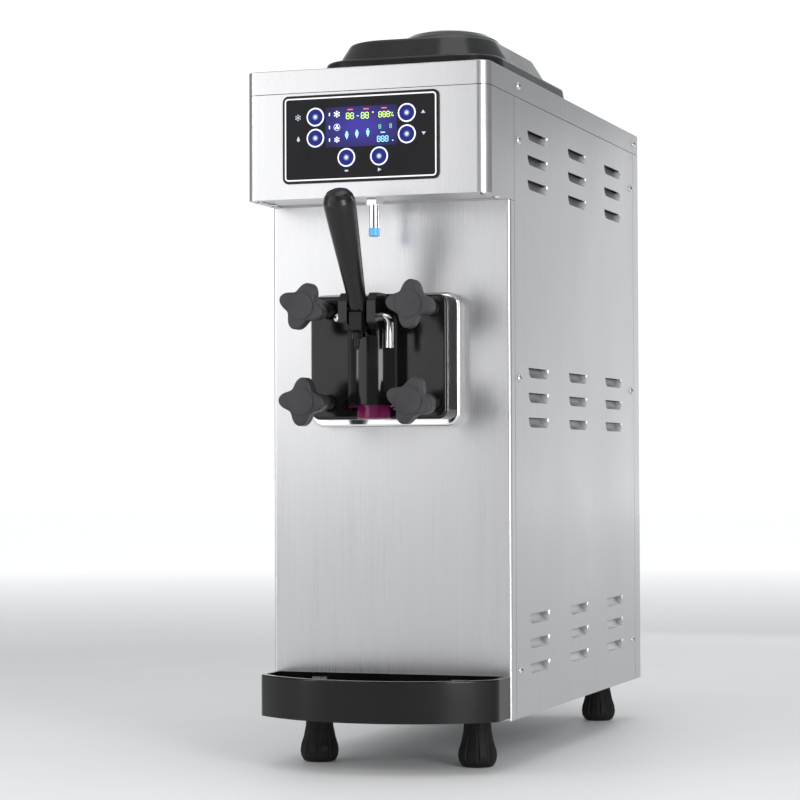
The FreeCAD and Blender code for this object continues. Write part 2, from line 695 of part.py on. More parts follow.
def make_head():
    """The overhanging head: a wrapped front with inward lips, and its floor on the lips."""
    outer = plan_prism(-HALF, HALF, -HEAD_REACH, WRAP, HEAD_BOTTOM, PANEL_TOP, HEAD_CORNER, 0)
    inner = plan_prism(-INSIDE, INSIDE, -HEAD_REACH + SHEET, WRAP + 1, HEAD_BOTTOM + SHEET,
                       PANEL_TOP + 1, HEAD_CORNER - SHEET, 0)
    under = block(-HALF + HEAD_LIP, HALF - HEAD_LIP, -HEAD_REACH + HEAD_LIP, WRAP + 1,
                  HEAD_BOTTOM - 1, HEAD_BOTTOM + SHEET + 1)
    behind = block(-HALF - 1, HALF + 1, -SEAM, WRAP + 1, HEAD_BOTTOM - 1, HEAD_BOTTOM + SHEET)
    behind = behind.cut(block(-HALF - 2, -INSIDE, -5, WRAP + 2, HEAD_BOTTOM - 2, PANEL_TOP))
    behind = behind.cut(block(INSIDE, HALF + 2, -5, WRAP + 2, HEAD_BOTTOM - 2, PANEL_TOP))
    inset = fascia_window_inset()
    half = FASCIA_WIDTH / 2.0 - inset
    window = plate_xz(FASCIA_CENTRE_X - half, FASCIA_CENTRE_X + half, FASCIA_BOTTOM + inset,
                      FASCIA_BOTTOM + FASCIA_HEIGHT - inset, -HEAD_REACH - 1, -HEAD_REACH + 3, 2.0)
    shell = outer.cut([inner, under, behind, window])
    keep("head_shell", drill_head_floor(shell))
    z0 = HEAD_BOTTOM + SHEET
    floor = plan_prism(-INSIDE, INSIDE, -HEAD_REACH + SHEET, -SEAM, z0, z0 + SHEET,
                       HEAD_CORNER - SHEET, 0)
    floor = floor.cut(rod_z(SPOUT_RADIUS + 0.3, 0, SPOUT_Y, z0 - 1, z0 + SHEET + 1))
    keep("head_bottom_plate", drill_head_floor(floor))


def make_top_cover():
    outer = plan_prism(-HALF, HALF, -HEAD_REACH, CABINET_DEPTH, SEAM_TOP, COVER_TOP,
                       HEAD_CORNER, PANEL_CORNER)
    inner = plan_prism(-INSIDE, INSIDE, -HEAD_REACH + SHEET, REAR_INSIDE, SEAM_TOP - 1,
                       COVER_TOP - SHEET, HEAD_CORNER - SHEET, PANEL_CORNER - SHEET)
    opening = plan_prism(-HOPPER_HALF_WIDTH, HOPPER_HALF_WIDTH, HOPPER_FRONT_Y,
                         HOPPER_FRONT_Y + HOPPER_LENGTH, COVER_TOP - SHEET - 1, COVER_TOP + 1, 12, 12)
    top_edges = outer.makeFillet(0.9, [e for e in outer.Edges if e.CenterOfMass.z > COVER_TOP - 0.01])
    keep("top_cover", drill_casing(top_edges.cut([inner, opening])))


# ---------------------------------------------------------------- hopper and lid
def make_hopper():
    y1 = HOPPER_FRONT_Y + HOPPER_LENGTH
    outer = plan_prism(-HOPPER_HALF_WIDTH, HOPPER_HALF_WIDTH, HOPPER_FRONT_Y, y1,
                       HOPPER_BOTTOM, COVER_TOP + HOPPER_WALL, 12, 12)
    w = HOPPER_WALL
    inner = plan_prism(-HOPPER_HALF_WIDTH + w, HOPPER_HALF_WIDTH - w, HOPPER_FRONT_Y + w, y1 - w,
                       HOPPER_BOTTOM + w, COVER_TOP + HOPPER_WALL + 1, 11, 11)
    rim = plan_prism(-HOPPER_HALF_WIDTH - HOPPER_RIM, HOPPER_HALF_WIDTH + HOPPER_RIM,
                     HOPPER_FRONT_Y - HOPPER_RIM, y1 + HOPPER_RIM, COVER_TOP,
                     COVER_TOP + HOPPER_WALL, 20, 20)
    neck = rod_z(FEED_RADIUS + 2.5, 0, FEED_Y, HEAD_CENTRE_Z + CYLINDER_BORE, HOPPER_BOTTOM + w)
    neck_hole = rod_z(FEED_RADIUS + 0.1, 0, FEED_Y, HEAD_CENTRE_Z, HOPPER_BOTTOM + w + 1)
    tank = join(outer, [rim, neck]).cut([inner, neck_hole])
    barrel = rod_y(CYLINDER_OUTER, 0, HEAD_CENTRE_Z, 0, CYLINDER_LENGTH)
    keep("hopper", tank.cut(barrel))
    tube = rod_z(FEED_RADIUS, 0, FEED_Y, HEAD_CENTRE_Z + CYLINDER_OUTER + 2, COVER_TOP - 30)
    tube = tube.cut(rod_z(FEED_RADIUS - 1.5, 0, FEED_Y, HEAD_CENTRE_Z, COVER_TOP))
    inlet = rod_x(2.5, FEED_Y, HOPPER_BOTTOM + 12, -20, 0)
    keep("feed_tube", tube.cut(inlet))


def lid_form(inset, floor_z):
    """The lid's stepped form, drawn in by the wall for its inside."""
    half = LID_HALF_WIDTH - inset
    base_top = COVER_TOP + LID_BASE_RISE
    step_top = COVER_TOP + LID_STEP_RISE - inset
    top = COVER_TOP + LID_CROWN_RISE - inset
    base = tier(half, half - LID_BASE_LEAN, LID_FRONT_Y + inset, LID_REAR_Y - inset, LID_BASE_LEAN,
                floor_z, base_top - inset, 42 - inset, 38 - inset)
    step = tier(LID_STEP_HALF - inset, LID_STEP_HALF - LID_STEP_LEAN - inset,
                LID_FRONT_Y + LID_STEP_FRONT_INSET + inset, LID_REAR_Y - LID_STEP_REAR_INSET - inset,
                LID_STEP_LEAN, base_top - 5.0 - inset, step_top, 60 - inset, 45 - inset)
    r = CROWN_RADIUS - inset
    foot = base_top + 1.0
    crown = turned([(0, foot), (r, foot), (r - 1.5, top - 25), (r - 5, top - 18), (r - 12, top - 10.5),
                    (r - 22, top - 5), (r - 34, top - 2), (r - 48, top - 0.4), (0, top)], 0, CROWN_Y)
    return base, step, crown


def make_lid():
    base, step, crown = lid_form(0, LID_BASE_Z)
    base = round_edges(base, 4.0, lambda e: e.CenterOfMass.z > COVER_TOP + LID_BASE_RISE - 0.1)
    step = round_edges(step, 5.0, lambda e: e.CenterOfMass.z > COVER_TOP + LID_STEP_RISE - 0.1)
    outer = join(base, [step, crown])
    hollow_base, hollow_step, hollow_crown = lid_form(LID_WALL, LID_BASE_Z - 1)
    hollow = join(hollow_base, [hollow_step, hollow_crown])
    keep("hopper_lid", outer.cut(hollow))


# ---------------------------------------------------------------- drip tray
def tray_form(inset, z0, z1):
    """The bow-fronted form: straight sides, then one wide arc across the front."""
    x = TRAY_HALF_WIDTH - inset
    rear = -TRAY_GAP - inset * 0.7
    side = -TRAY_SIDE_REACH + inset * 0.6
    front = -TRAY_REACH + inset
    edges = [
        Part.LineSegment(Vector(-x, rear, z0), Vector(-x, side, z0)).toShape(),
        Part.Arc(Vector(-x, side, z0), Vector(0, front, z0), Vector(x, side, z0)).toShape(),
        Part.LineSegment(Vector(x, side, z0), Vector(x, rear, z0)).toShape(),
        Part.LineSegment(Vector(x, rear, z0), Vector(-x, rear, z0)).toShape(),
    ]
    form = Part.Face(Part.Wire(edges)).extrude(Vector(0, 0, z1 - z0))
    return round_edges(form, TRAY_CORNER - inset, lambda e: is_upright(e, 2)
                       and e.CenterOfMass.y < rear - 5)


def make_tray():
    top = TRAY_BOTTOM + TRAY_HEIGHT
    outer = tray_form(0, TRAY_BOTTOM, top)
    inner = tray_form(TRAY_WALL, TRAY_BOTTOM + TRAY_FLOOR, top + 1)
    outer = outer.makeFillet(1.4, [e for e in outer.Edges if e.CenterOfMass.z > top - 0.01])
    tray = outer.cut(inner)
    slots = []
    for x in (-HOOK_X, HOOK_X):
        slots.append(block(x - HOOK_HALF_WIDTH - 1, x + HOOK_HALF_WIDTH + 1, -6.0, 1,
                           HOOK_Z - TRAY_LIFT - 2.0, HOOK_Z + 2.8))
    keep("drip_tray", tray.cut(slots))


# ---------------------------------------------------------------- fascia
def make_fascia():
    x0 = FASCIA_CENTRE_X - FASCIA_WIDTH / 2.0
    x1 = FASCIA_CENTRE_X + FASCIA_WIDTH / 2.0
    z1 = FASCIA_BOTTOM + FASCIA_HEIGHT
    face = -HEAD_REACH
    rim = FASCIA_BORDER
    outer = plate_xz(x0, x1, FASCIA_BOTTOM, z1, face - FASCIA_PROUD, face, FASCIA_CORNER)
    front_edges = [e for e in outer.Edges if e.CenterOfMass.y < face - FASCIA_PROUD + 0.01]
    outer = outer.makeFillet(0.7, front_edges)
    inside = plate_xz(x0 + rim, x1 - rim, FASCIA_BOTTOM + rim, z1 - rim, face - 5, face + 1,
                      FASCIA_CORNER - 2)
    keep("fascia_bezel", outer.cut(inside))
    sheet = plate_xz(x0 + rim, x1 - rim, FASCIA_BOTTOM + rim, z1 - rim, face - PANEL_PROUD, face,
                     FASCIA_CORNER - 2)
    holes = [rod_y(BUTTON_RADIUS + BUTTON_GAP, x, z, face - 5, face + 1) for x, z in BUTTONS.values()]
    keep("fascia_panel", sheet.cut(holes))
    keep_back = face + 0.3
    stem_end = face + 4.0
    board_y = face + 10.0
    for name, (x, z) in BUTTONS.items():
        cap = rod_y(BUTTON_RADIUS, x, z, face - BUTTON_PROUD, keep_back + 1.2)
        cap = round_edges(cap, 0.5, lambda e: e.CenterOfMass.y < face - BUTTON_PROUD + 0.01)
        flange = rod_y(BUTTON_RADIUS + 0.7, x, z, keep_back, keep_back + 1.2)
        stem = rod_y(2.5, x, z, keep_back, stem_end)
        keep(name, join(cap, [flange, stem]))
    inset = fascia_window_inset() + 1.0
    board = block(x0 + inset, x1 - inset, board_y, board_y + 1.6, FASCIA_BOTTOM + inset, z1 - inset)
    display_z = FASCIA_BOTTOM + DISPLAY_RISE
    extras = [block(FASCIA_CENTRE_X + DISPLAY_LEFT, FASCIA_CENTRE_X + DISPLAY_RIGHT, face + 2.0, board_y,
                    display_z, display_z + DISPLAY_HEIGHT)]
    for x, z in BUTTONS.values():
        extras.append(block(x - 3, x + 3, stem_end + BUTTON_TRAVEL + 1.0, board_y, z - 3, z + 3))
        extras.append(rod_y(1.5, x, z, stem_end + BUTTON_TRAVEL + 0.4, board_y))
    for x in (x0 + inset + 4, x1 - inset - 4):
        extras.append(rod_y(3.0, x, FASCIA_BOTTOM + inset + 3.5, face + SHEET, board_y))
        extras.append(rod_y(3.0, x, z1 - inset - 3.5, face + SHEET, board_y))
    keep("control_board", join(board, extras))


# ---------------------------------------------------------------- dispensing head
def stud_places():
    return [(x, z) for x in (-STUD_X, STUD_X) for z in (STUD_UPPER_Z, STUD_LOWER_Z)]


def make_flange():
    z0 = HEAD_CENTRE_Z - FLANGE_HEIGHT / 2.0 - FLANGE_DROP
    half = FLANGE_WIDTH / 2.0
    plate = plate_xz(-half, half, z0, z0 + FLANGE_HEIGHT, -FLANGE_DEPTH, 0, FLANGE_CORNER)
    plate = plate.makeFillet(2.5, [e for e in plate.Edges if e.CenterOfMass.y < -FLANGE_DEPTH + 0.01])
    plate = plate.cut(rod_y(CYLINDER_BORE, 0, HEAD_CENTRE_Z, -FLANGE_DEPTH - 1, 1))
    studs = [rod_y(STUD_RADIUS, x, z, STUD_END_Y, -FLANGE_DEPTH + 1) for x, z in stud_places()]
    keep("cylinder_flange", join(plate, studs))


def ear():
    """One of the two ears that carry the pivot pin, on the right."""
    y = EAR_FRONT_Y
    low = PIVOT_Z - EAR_DROP
    points = [(BARREL_Y, low), (y + 11, low), (y, PIVOT_Z - EAR_FRONT_DROP),
              (y, PIVOT_Z + EAR_FRONT_RISE), (y + 8, BARREL_TOP), (BARREL_Y, BARREL_TOP)]
    plate = slab_x(points, EAR_INNER_X, EAR_INNER_X + EAR_THICKNESS)
    return round_edges(plate, 2.0, lambda e: is_upright(e, 0) and e.CenterOfMass.y < y + 12)


def nozzle_lug():
    """A bayonet lug beside the barrel's foot that holds up one wing of the nozzle."""
    x0 = BARREL_RADIUS - 1.0
    x1 = WING_REACH + 3.5
    low = BARREL_BOTTOM - NOZZLE_SEAT_GAP - WING_THICKNESS - 0.6
    y0 = BARREL_Y - 5.0
    y1 = BARREL_Y + 5.0
    top = block(x0, x1, y0, y1, BARREL_BOTTOM, BARREL_BOTTOM + 5.0)
    drop = block(WING_REACH + 0.7, x1, y0, y1, low - 2.2, BARREL_BOTTOM)
    lip = block(NOZZLE_FLANGE_RADIUS + 1.5, x1, y0, y1, low - 2.2, low)
    return join(top, [drop, lip])


def make_dispensing_block():
    z0 = HEAD_CENTRE_Z - BLOCK_HEIGHT / 2.0
    half = BLOCK_WIDTH / 2.0
    body = plate_xz(-half, half, z0, z0 + BLOCK_HEIGHT, BLOCK_FRONT_Y, -FLANGE_DEPTH, BLOCK_CORNER)
    body = body.makeFillet(3.0, [e for e in body.Edges if e.CenterOfMass.y < BLOCK_FRONT_Y + 0.01])
    barrel = rod_z(BARREL_RADIUS, 0, BARREL_Y, BARREL_BOTTOM, BARREL_TOP)
    flanks = block(-BARREL_RADIUS, BARREL_RADIUS, BARREL_Y, -FLANGE_DEPTH - 4, BARREL_BOTTOM, BARREL_TOP)
    body = join(body, [barrel, flanks, ear(), mirrored(ear())])
    nozzle_space = rod_z(NOZZLE_RADIUS + 0.6, 0, BARREL_Y, z0 - 1, BARREL_BOTTOM)
    wing_top = BARREL_BOTTOM - NOZZLE_SEAT_GAP
    wing_space = rod_z(WING_REACH + 0.7, 0, BARREL_Y, wing_top - WING_THICKNESS - 0.6, BARREL_BOTTOM)
    body = body.cut([nozzle_space, wing_space])
    body = join(body, [nozzle_lug(), mirrored(nozzle_lug())])
    bore = rod_z(PISTON_RADIUS + RUNNING_FIT, 0, BARREL_Y, BARREL_BOTTOM - 1, BARREL_TOP + 5)
    seat = rod_z(NOZZLE_NECK_RADIUS + 0.08, 0, BARREL_Y, BARREL_BOTTOM - 1,
                 BARREL_BOTTOM + NOZZLE_NECK_HEIGHT + 0.4)
    port_z = BARREL_BOTTOM + PORT_RISE
    port = rod_y(PORT_RADIUS, 0, port_z, BARREL_Y, -FLANGE_DEPTH + 1)
    finger_slot = block(-FINGER_HALF_WIDTH - FINGER_GAP, FINGER_HALF_WIDTH + FINGER_GAP,
                        BARREL_Y - BARREL_RADIUS - 1, BARREL_Y, FINGER_Z - 8.5, BARREL_TOP + 5)
    eye_pocket = block(-EAR_INNER_X, EAR_INNER_X, EAR_FRONT_Y - 5, PIVOT_Y + 12.0,
                       PIVOT_Z - EYE_POCKET_DROP, BARREL_TOP + 5)
    pin_hole = rod_x(PIN_RADIUS + RUNNING_FIT, PIVOT_Y, PIVOT_Z, -30, 30)
    stud_holes = [rod_y(STUD_RADIUS + 0.4, x, z, BLOCK_FRONT_Y - 5, 0) for x, z in stud_places()]
    groove = rod_y(SEAL_RING_RADIUS + SEAL_CORD, 0, HEAD_CENTRE_Z,
                   -FLANGE_DEPTH - 2 * SEAL_CORD, -FLANGE_DEPTH + 1)
    groove = groove.cut(rod_y(SEAL_RING_RADIUS - SEAL_CORD, 0, HEAD_CENTRE_Z, BLOCK_FRONT_Y, 0))
    tools = [bore, seat, port, finger_slot, eye_pocket, pin_hole, groove] + stud_holes
    keep("dispensing_block", body.cut(tools))
    seal = Part.makeTorus(SEAL_RING_RADIUS, SEAL_CORD, Vector(0, -FLANGE_DEPTH - SEAL_CORD, HEAD_CENTRE_Z),
                          Vector(0, 1, 0))
    return seal


def make_piston():
    z0 = BARREL_BOTTOM + NOZZLE_NECK_HEIGHT + 1.0
    z1 = FINGER_Z + SLOT_MOUTH + 4.5
    piston = rod_z(PISTON_RADIUS, 0, BARREL_Y, z0, z1)
    piston = piston.makeChamfer(0.8, [e for e in piston.Edges if isinstance(e.Curve, Part.Circle)])
    half = FINGER_RADIUS + FINGER_GAP
    mouth_y = BARREL_Y - PISTON_RADIUS - 1.0
    slot = slab_x([(mouth_y, FINGER_Z - SLOT_MOUTH), (BARREL_Y, FINGER_Z - half),
                   (BARREL_Y + 7.4, FINGER_Z - half), (BARREL_Y + 7.4, FINGER_Z + half),
                   (BARREL_Y, FINGER_Z + half), (mouth_y, FINGER_Z + SLOT_MOUTH)],
                  -FINGER_HALF_WIDTH - FINGER_GAP, FINGER_HALF_WIDTH + FINGER_GAP)
    grooves = []
    rings = []
    cord = 1.33
    centre = PISTON_RADIUS + RUNNING_FIT / 2.0 - cord
    for z in (z0 + 3.5, z0 + 27.5, z0 + 38.5, z0 + 49.5):
        ring = rod_z(PISTON_RADIUS + 1, 0, BARREL_Y, z - cord - 0.1, z + cord + 0.1)
        grooves.append(ring.cut(rod_z(centre - cord - 0.05, 0, BARREL_Y, z - 3, z + 3)))
        rings.append(Part.makeTorus(centre, cord, Vector(0, BARREL_Y, z), Vector(0, 0, 1)))
    keep("valve_piston", piston.cut([slot] + grooves))
    keep("piston_o_rings", Part.makeCompound(rings))


def make_nozzle():
    z1 = BARREL_BOTTOM - NOZZLE_SEAT_GAP
    z0 = z1 - NOZZLE_HEIGHT - WING_THICKNESS
    body = rod_z(NOZZLE_RADIUS, 0, BARREL_Y, z0, z1)
    body = body.makeFillet(1.2, [e for e in body.Edges if e.CenterOfMass.z < z0 + 0.01])
    flange = rod_z(NOZZLE_FLANGE_RADIUS, 0, BARREL_Y, z1 - WING_THICKNESS, z1)
    wing = block(-WING_REACH, WING_REACH, BARREL_Y - WING_HALF_WIDTH, BARREL_Y + WING_HALF_WIDTH,
                 z1 - WING_THICKNESS, z1)
    wing = round_edges(wing, WING_HALF_WIDTH - 1.0, lambda e: is_upright(e, 2))
    neck = rod_z(NOZZLE_NECK_RADIUS, 0, BARREL_Y, z1 - 1, BARREL_BOTTOM + NOZZLE_NECK_HEIGHT)
    solid = join(body, [flange, wing, neck])
    chamber = rod_z(NOZZLE_NECK_RADIUS - 1.6, 0, BARREL_Y, z1 - 3, BARREL_BOTTOM + 20)
    points = []
    for k in range(12):
        radius = 11.0 if k % 2 == 0 else 6.2
        angle = math.radians(30.0 * k)
        points.append((radius * math.cos(angle), BARREL_Y + radius * math.sin(angle), z0 - 1))
    star = Part.Face(outline(points)).extrude(Vector(0, 0, NOZZLE_HEIGHT + 10))
    keep("star_nozzle", solid.cut([chamber, star]))


def grip_axis():
    """Where the handle's axis starts and which way it leans."""
    tilt = math.radians(GRIP_TILT)
    lean = Vector(0, -math.sin(tilt), math.cos(tilt))
    return Vector(0, PIVOT_Y - 8.5, PIVOT_Z + 2.0), lean


def make_handle():
    start, lean = grip_axis()
    eye = rod_x(PIN_RADIUS + 5.0, PIVOT_Y, PIVOT_Z, -8.0, 8.0)
    tip_y = PIVOT_Y + LEVER_ARM
    tip = rod_x(FINGER_RADIUS, tip_y, FINGER_Z, -FINGER_HALF_WIDTH, FINGER_HALF_WIDTH)
    arm_lean = math.atan2(FINGER_Z - PIVOT_Z, LEVER_ARM)
    up = Vector(0, -math.sin(arm_lean), math.cos(arm_lean))
    eye_centre = Vector(0, PIVOT_Y, PIVOT_Z)
    tip_centre = Vector(0, tip_y, FINGER_Z)
    corners = [eye_centre + up * 7.0, tip_centre + up * FINGER_RADIUS,
               tip_centre - up * FINGER_RADIUS, eye_centre - up * 7.0]
    arm = slab_x([(c.y, c.z) for c in corners], -FINGER_HALF_WIDTH, FINGER_HALF_WIDTH)
    nose_y = PIVOT_Y - 21.0
    nose = slab_x([(PIVOT_Y, PIVOT_Z + 8), (nose_y, PIVOT_Z + 4), (nose_y, PIVOT_Z - 12),
                   (nose_y + 3, PIVOT_Z - 15), (nose_y + 10, PIVOT_Z - 15), (PIVOT_Y, PIVOT_Z - 8)],
                  -6.0, 6.0)
    socket = Part.makeCylinder(7.0, 12.0, start - lean * 11.0, lean)
    tang = Part.makeCylinder(4.0, 60.0, start - lean * 2.0, lean)
    lever = join(eye, [tip, arm, nose, socket, tang])
    screw_y = PIVOT_Y - 16.0
    screw_hole = rod_z(2.5, 0, screw_y, PIVOT_Z - 22, PIVOT_Z - 6)
    lever = lever.cut([rod_x(PIN_RADIUS + RUNNING_FIT, PIVOT_Y, PIVOT_Z, -20, 20), screw_hole])
    keep("handle_lever", lever)
    profile = [(0, 1.0), (GRIP_BOTTOM_RADIUS - 0.8, 1.0), (GRIP_BOTTOM_RADIUS, 2.2),
               (GRIP_BOTTOM_RADIUS + 1.3, 24), (GRIP_TOP_RADIUS - 1.0, 92),
               (GRIP_TOP_RADIUS, 110), (GRIP_TOP_RADIUS - 0.2, 114.5), (GRIP_TOP_RADIUS - 1.6, 119),
               (GRIP_TOP_RADIUS - 4.6, 122.8), (GRIP_TOP_RADIUS - 9.5, GRIP_LENGTH), (0, GRIP_LENGTH)]
    grip = turned(profile, 0, 0)
    grip.rotate(Vector(0, 0, 0), Vector(1, 0, 0), GRIP_TILT)
    grip.translate(start)
    keep("handle_grip", grip.cut(lever))
    shank = rod_z(2.5, 0, screw_y, PIVOT_Z - 26.5, PIVOT_Z - 6)
    tip_cone = Part.makeCone(1.2, 2.5, 4.0, Vector(0, screw_y, PIVOT_Z - 30.5), Vector(0, 0, 1))
    corners = [math.radians(60 * k) for k in range(6)]
    nut_wire = outline([(5.2 * math.cos(a), screw_y + 5.2 * math.sin(a), PIVOT_Z - 20.5) for a in corners])
    nut = Part.Face(nut_wire).extrude(Vector(0, 0, 5.4))
    keep("adjusting_screw", join(shank, [tip_cone, nut]))


def make_pin():
    """The hooked pivot pin: a straight run through the ears, then a leg hanging down."""
    leg_x = 26.0
    path = [(-24.5, PIVOT_Y, PIVOT_Z), (leg_x, PIVOT_Y, PIVOT_Z), (leg_x, PIVOT_Y, PIVOT_Z - 28.5)]
    pin = bent_tube(path, PIN_RADIUS, 6.5)
    ball = Part.makeSphere(PIN_RADIUS, Vector(-24.5, PIVOT_Y, PIVOT_Z))
    keep("pivot_pin", join(pin, [ball]))


def knob(x, z, lean):
    """A four-lobed knob with a raised disc, a long neck and a blind threaded hole."""
    points = []
    for k in range(32):
        angle = 2.0 * math.pi * k / 32
        radius = KNOB_MEAN_RADIUS + KNOB_LOBE_RISE * math.cos(4.0 * angle)
        points.append(Vector(radius * math.sin(angle), 0, radius * math.cos(angle)))
    curve = Part.BSplineCurve()
    curve.interpolate(points, PeriodicFlag=True)
    face = Part.Face(Part.Wire(curve.toShape()))
    head = face.extrude(Vector(0, KNOB_THICKNESS, 0))
    head = head.makeFillet(2.6, [e for e in head.Edges if e.CenterOfMass.y < 0.01])
    head.rotate(Vector(0, 0, 0), Vector(0, 1, 0), -lean)
    head.translate(Vector(x, KNOB_FACE_Y, z))
    disc = rod_y(KNOB_DISC_RADIUS, x, z, KNOB_FACE_Y - KNOB_DISC_RISE, KNOB_FACE_Y + 1)
    neck = Part.makeCone(KNOB_NECK_RADIUS + 3.0, KNOB_NECK_RADIUS, COLLAR_FRONT_Y - KNOB_BACK_Y,
                         Vector(x, KNOB_BACK_Y, z), Vector(0, 1, 0))
    solid = join(head, [disc, neck])
    return solid.cut(rod_y(STUD_RADIUS + RUNNING_FIT, x, z, STUD_END_Y - 1.5, 0))


def make_knobs():
    for name, (x, z, lean) in KNOBS.items():
        keep(name, knob(x, z, lean))
        collar = rod_y(COLLAR_RADIUS, x, z, COLLAR_FRONT_Y + 0.3, BLOCK_FRONT_Y - 0.3)
        collar = collar.makeFillet(0.8, collar.Edges[:1])
        keep(name.replace("knob", "collar"), collar.cut(rod_y(STUD_RADIUS + RUNNING_FIT, x, z, -80, 0)))


def make_spout():
    top = HEAD_BOTTOM + 22.0
    tube = rod_z(SPOUT_RADIUS, 0, SPOUT_Y, SPOUT_BOTTOM, top)
    nut_wire = outline([(SPOUT_NUT_RADIUS * math.cos(math.radians(60 * k)),
                         SPOUT_Y + SPOUT_NUT_RADIUS * math.sin(math.radians(60 * k)),
                         HEAD_BOTTOM + SHEET - SPOUT_NUT_HEIGHT) for k in range(6)])
    nut = Part.Face(nut_wire).extrude(Vector(0, 0, SPOUT_NUT_HEIGHT))
    bore = rod_z(SPOUT_RADIUS - 1.4, 0, SPOUT_Y, SPOUT_BOTTOM - 1, top + 1)
    keep("spout_tube", join(tube, [nut]).cut(bore))
    tip = rod_z(SPOUT_RADIUS + 0.2, 0, SPOUT_Y, SPOUT_BOTTOM - SPOUT_TIP_LENGTH, SPOUT_BOTTOM)
    plug = rod_z(SPOUT_RADIUS - 1.4, 0, SPOUT_Y, SPOUT_BOTTOM - 1, SPOUT_BOTTOM + 5)
    tip_bore = rod_z(2.2, 0, SPOUT_Y, SPOUT_BOTTOM - 20, SPOUT_BOTTOM + 20)
    tip_end = SPOUT_BOTTOM - SPOUT_TIP_LENGTH
    tip = tip.makeFillet(1.2, [e for e in tip.Edges if e.CenterOfMass.z < tip_end + 0.01])
    keep("spout_tip", join(tip, [plug]).cut(tip_bore))


# ---------------------------------------------------------------- freezing and drive
def make_cylinder(front_seal):
    rear = CYLINDER_LENGTH
    tube = rod_y(CYLINDER_FRONT_OUTER, 0, HEAD_CENTRE_Z, 0, rear)
    jacket = rod_y(CYLINDER_OUTER, 0, HEAD_CENTRE_Z, 15, rear - 12)
    bore = rod_y(CYLINDER_BORE, 0, HEAD_CENTRE_Z, -1, rear - CYLINDER_END)
    seal_hole = rod_y(SHAFT_RADIUS + 5.0, 0, HEAD_CENTRE_Z, rear - CYLINDER_END - 1, rear + 1)
    feed_hole = rod_z(FEED_RADIUS + 0.1, 0, FEED_Y, HEAD_CENTRE_Z, HEAD_CENTRE_Z + CYLINDER_OUTER + 5)
    keep("freezing_cylinder", join(tube, [jacket]).cut([bore, seal_hole, feed_hole]))
    outer = rod_y(SHAFT_RADIUS + 5.0, 0, HEAD_CENTRE_Z, rear - CYLINDER_END, rear)
    shaft_seal = outer.cut(rod_y(SHAFT_RADIUS + RUNNING_FIT, 0, HEAD_CENTRE_Z, rear - 20, rear + 5))
    keep("cylinder_seals", Part.makeCompound([front_seal, shaft_seal]))
    foam = block(-74, 74, 4, rear + 7, HEAD_CENTRE_Z - 72, HOPPER_BOTTOM - 10)
    cut_cylinder = rod_y(CYLINDER_OUTER, 0, HEAD_CENTRE_Z, 0, rear + 10)
    cut_neck = rod_z(FEED_RADIUS + 2.5, 0, FEED_Y, HEAD_CENTRE_Z, HOPPER_BOTTOM)
    keep("insulation", foam.cut([cut_cylinder, cut_neck]))


def ribbon(turn):
    """One scraper blade: a flat bar wound part of a turn round the beater's axis."""
    sections = []
    y0 = -13.0
    y1 = CYLINDER_LENGTH - CYLINDER_END - 6.0
    count = 10
    outer = CYLINDER_BORE - BEATER_GAP
    inner = CYLINDER_BORE - 14.0
    for k in range(count):
        angle = math.radians(turn + 270.0 * k / (count - 1))
        radial = Vector(math.cos(angle), 0, math.sin(angle))
        side = Vector(-math.sin(angle), 0, math.cos(angle))
        centre = Vector(0, y0 + (y1 - y0) * k / (count - 1), HEAD_CENTRE_Z)
        corners = [centre + radial * inner - side * 2.5, centre + radial * outer - side * 2.5,
                   centre + radial * outer + side * 2.5, centre + radial * inner + side * 2.5]
        sections.append(Part.makePolygon(corners + [corners[0]]))
    return Part.makeLoft(sections, True, False)


def make_beater():
    outer = CYLINDER_BORE - BEATER_GAP
    rear = CYLINDER_LENGTH - CYLINDER_END
    disc = rod_y(outer, 0, HEAD_CENTRE_Z, rear - 7, rear - 2)
    hub = rod_y(15, 0, HEAD_CENTRE_Z, rear - 24, rear - 2)
    ring = rod_y(outer, 0, HEAD_CENTRE_Z, -14, -9)
    ring = ring.cut(rod_y(CYLINDER_BORE - 14.0, 0, HEAD_CENTRE_Z, -20, 0))
    beater = join(disc, [hub, ring, ribbon(0), ribbon(180)])
    ports = []
    for k in range(6):
        a = math.radians(60 * k)
        ports.append(rod_y(7, 24 * math.cos(a), HEAD_CENTRE_Z + 24 * math.sin(a), rear - 8, rear - 1))
    keep("beater", beater.cut(ports))
    keep("drive_shaft", rod_y(SHAFT_RADIUS, 0, HEAD_CENTRE_Z, rear - 2, 262))


def make_gearbox():
    case = block(-45, 45, 230, 300, HEAD_CENTRE_Z - 47, HEAD_CENTRE_Z + 45)
    case = round_edges(case, 7, lambda e: is_upright(e, 1))
    nose = rod_y(24, 0, HEAD_CENTRE_Z, CYLINDER_LENGTH + 7, 232)
    bridge = block(-38, 38, 236, 294, SHELF_TOP + 104, HEAD_CENTRE_Z - 45)
    ribs = [block(-50, 50, y, y + 5, HEAD_CENTRE_Z - 35, HEAD_CENTRE_Z + 35) for y in (240, 285)]
    case = join(case, [nose, bridge] + ribs)
    out_bore = rod_y(SHAFT_RADIUS + RUNNING_FIT, 0, HEAD_CENTRE_Z, 200, 264)
    in_bore = rod_y(GEAR_SHAFT_RADIUS + RUNNING_FIT, 0, HEAD_CENTRE_Z, 280, 310)
    motor_space = rod_y(MOTOR_RADIUS, 0, MOTOR_Z, 150, 320)
    keep("gearbox", case.cut([out_bore, in_bore, motor_space]))


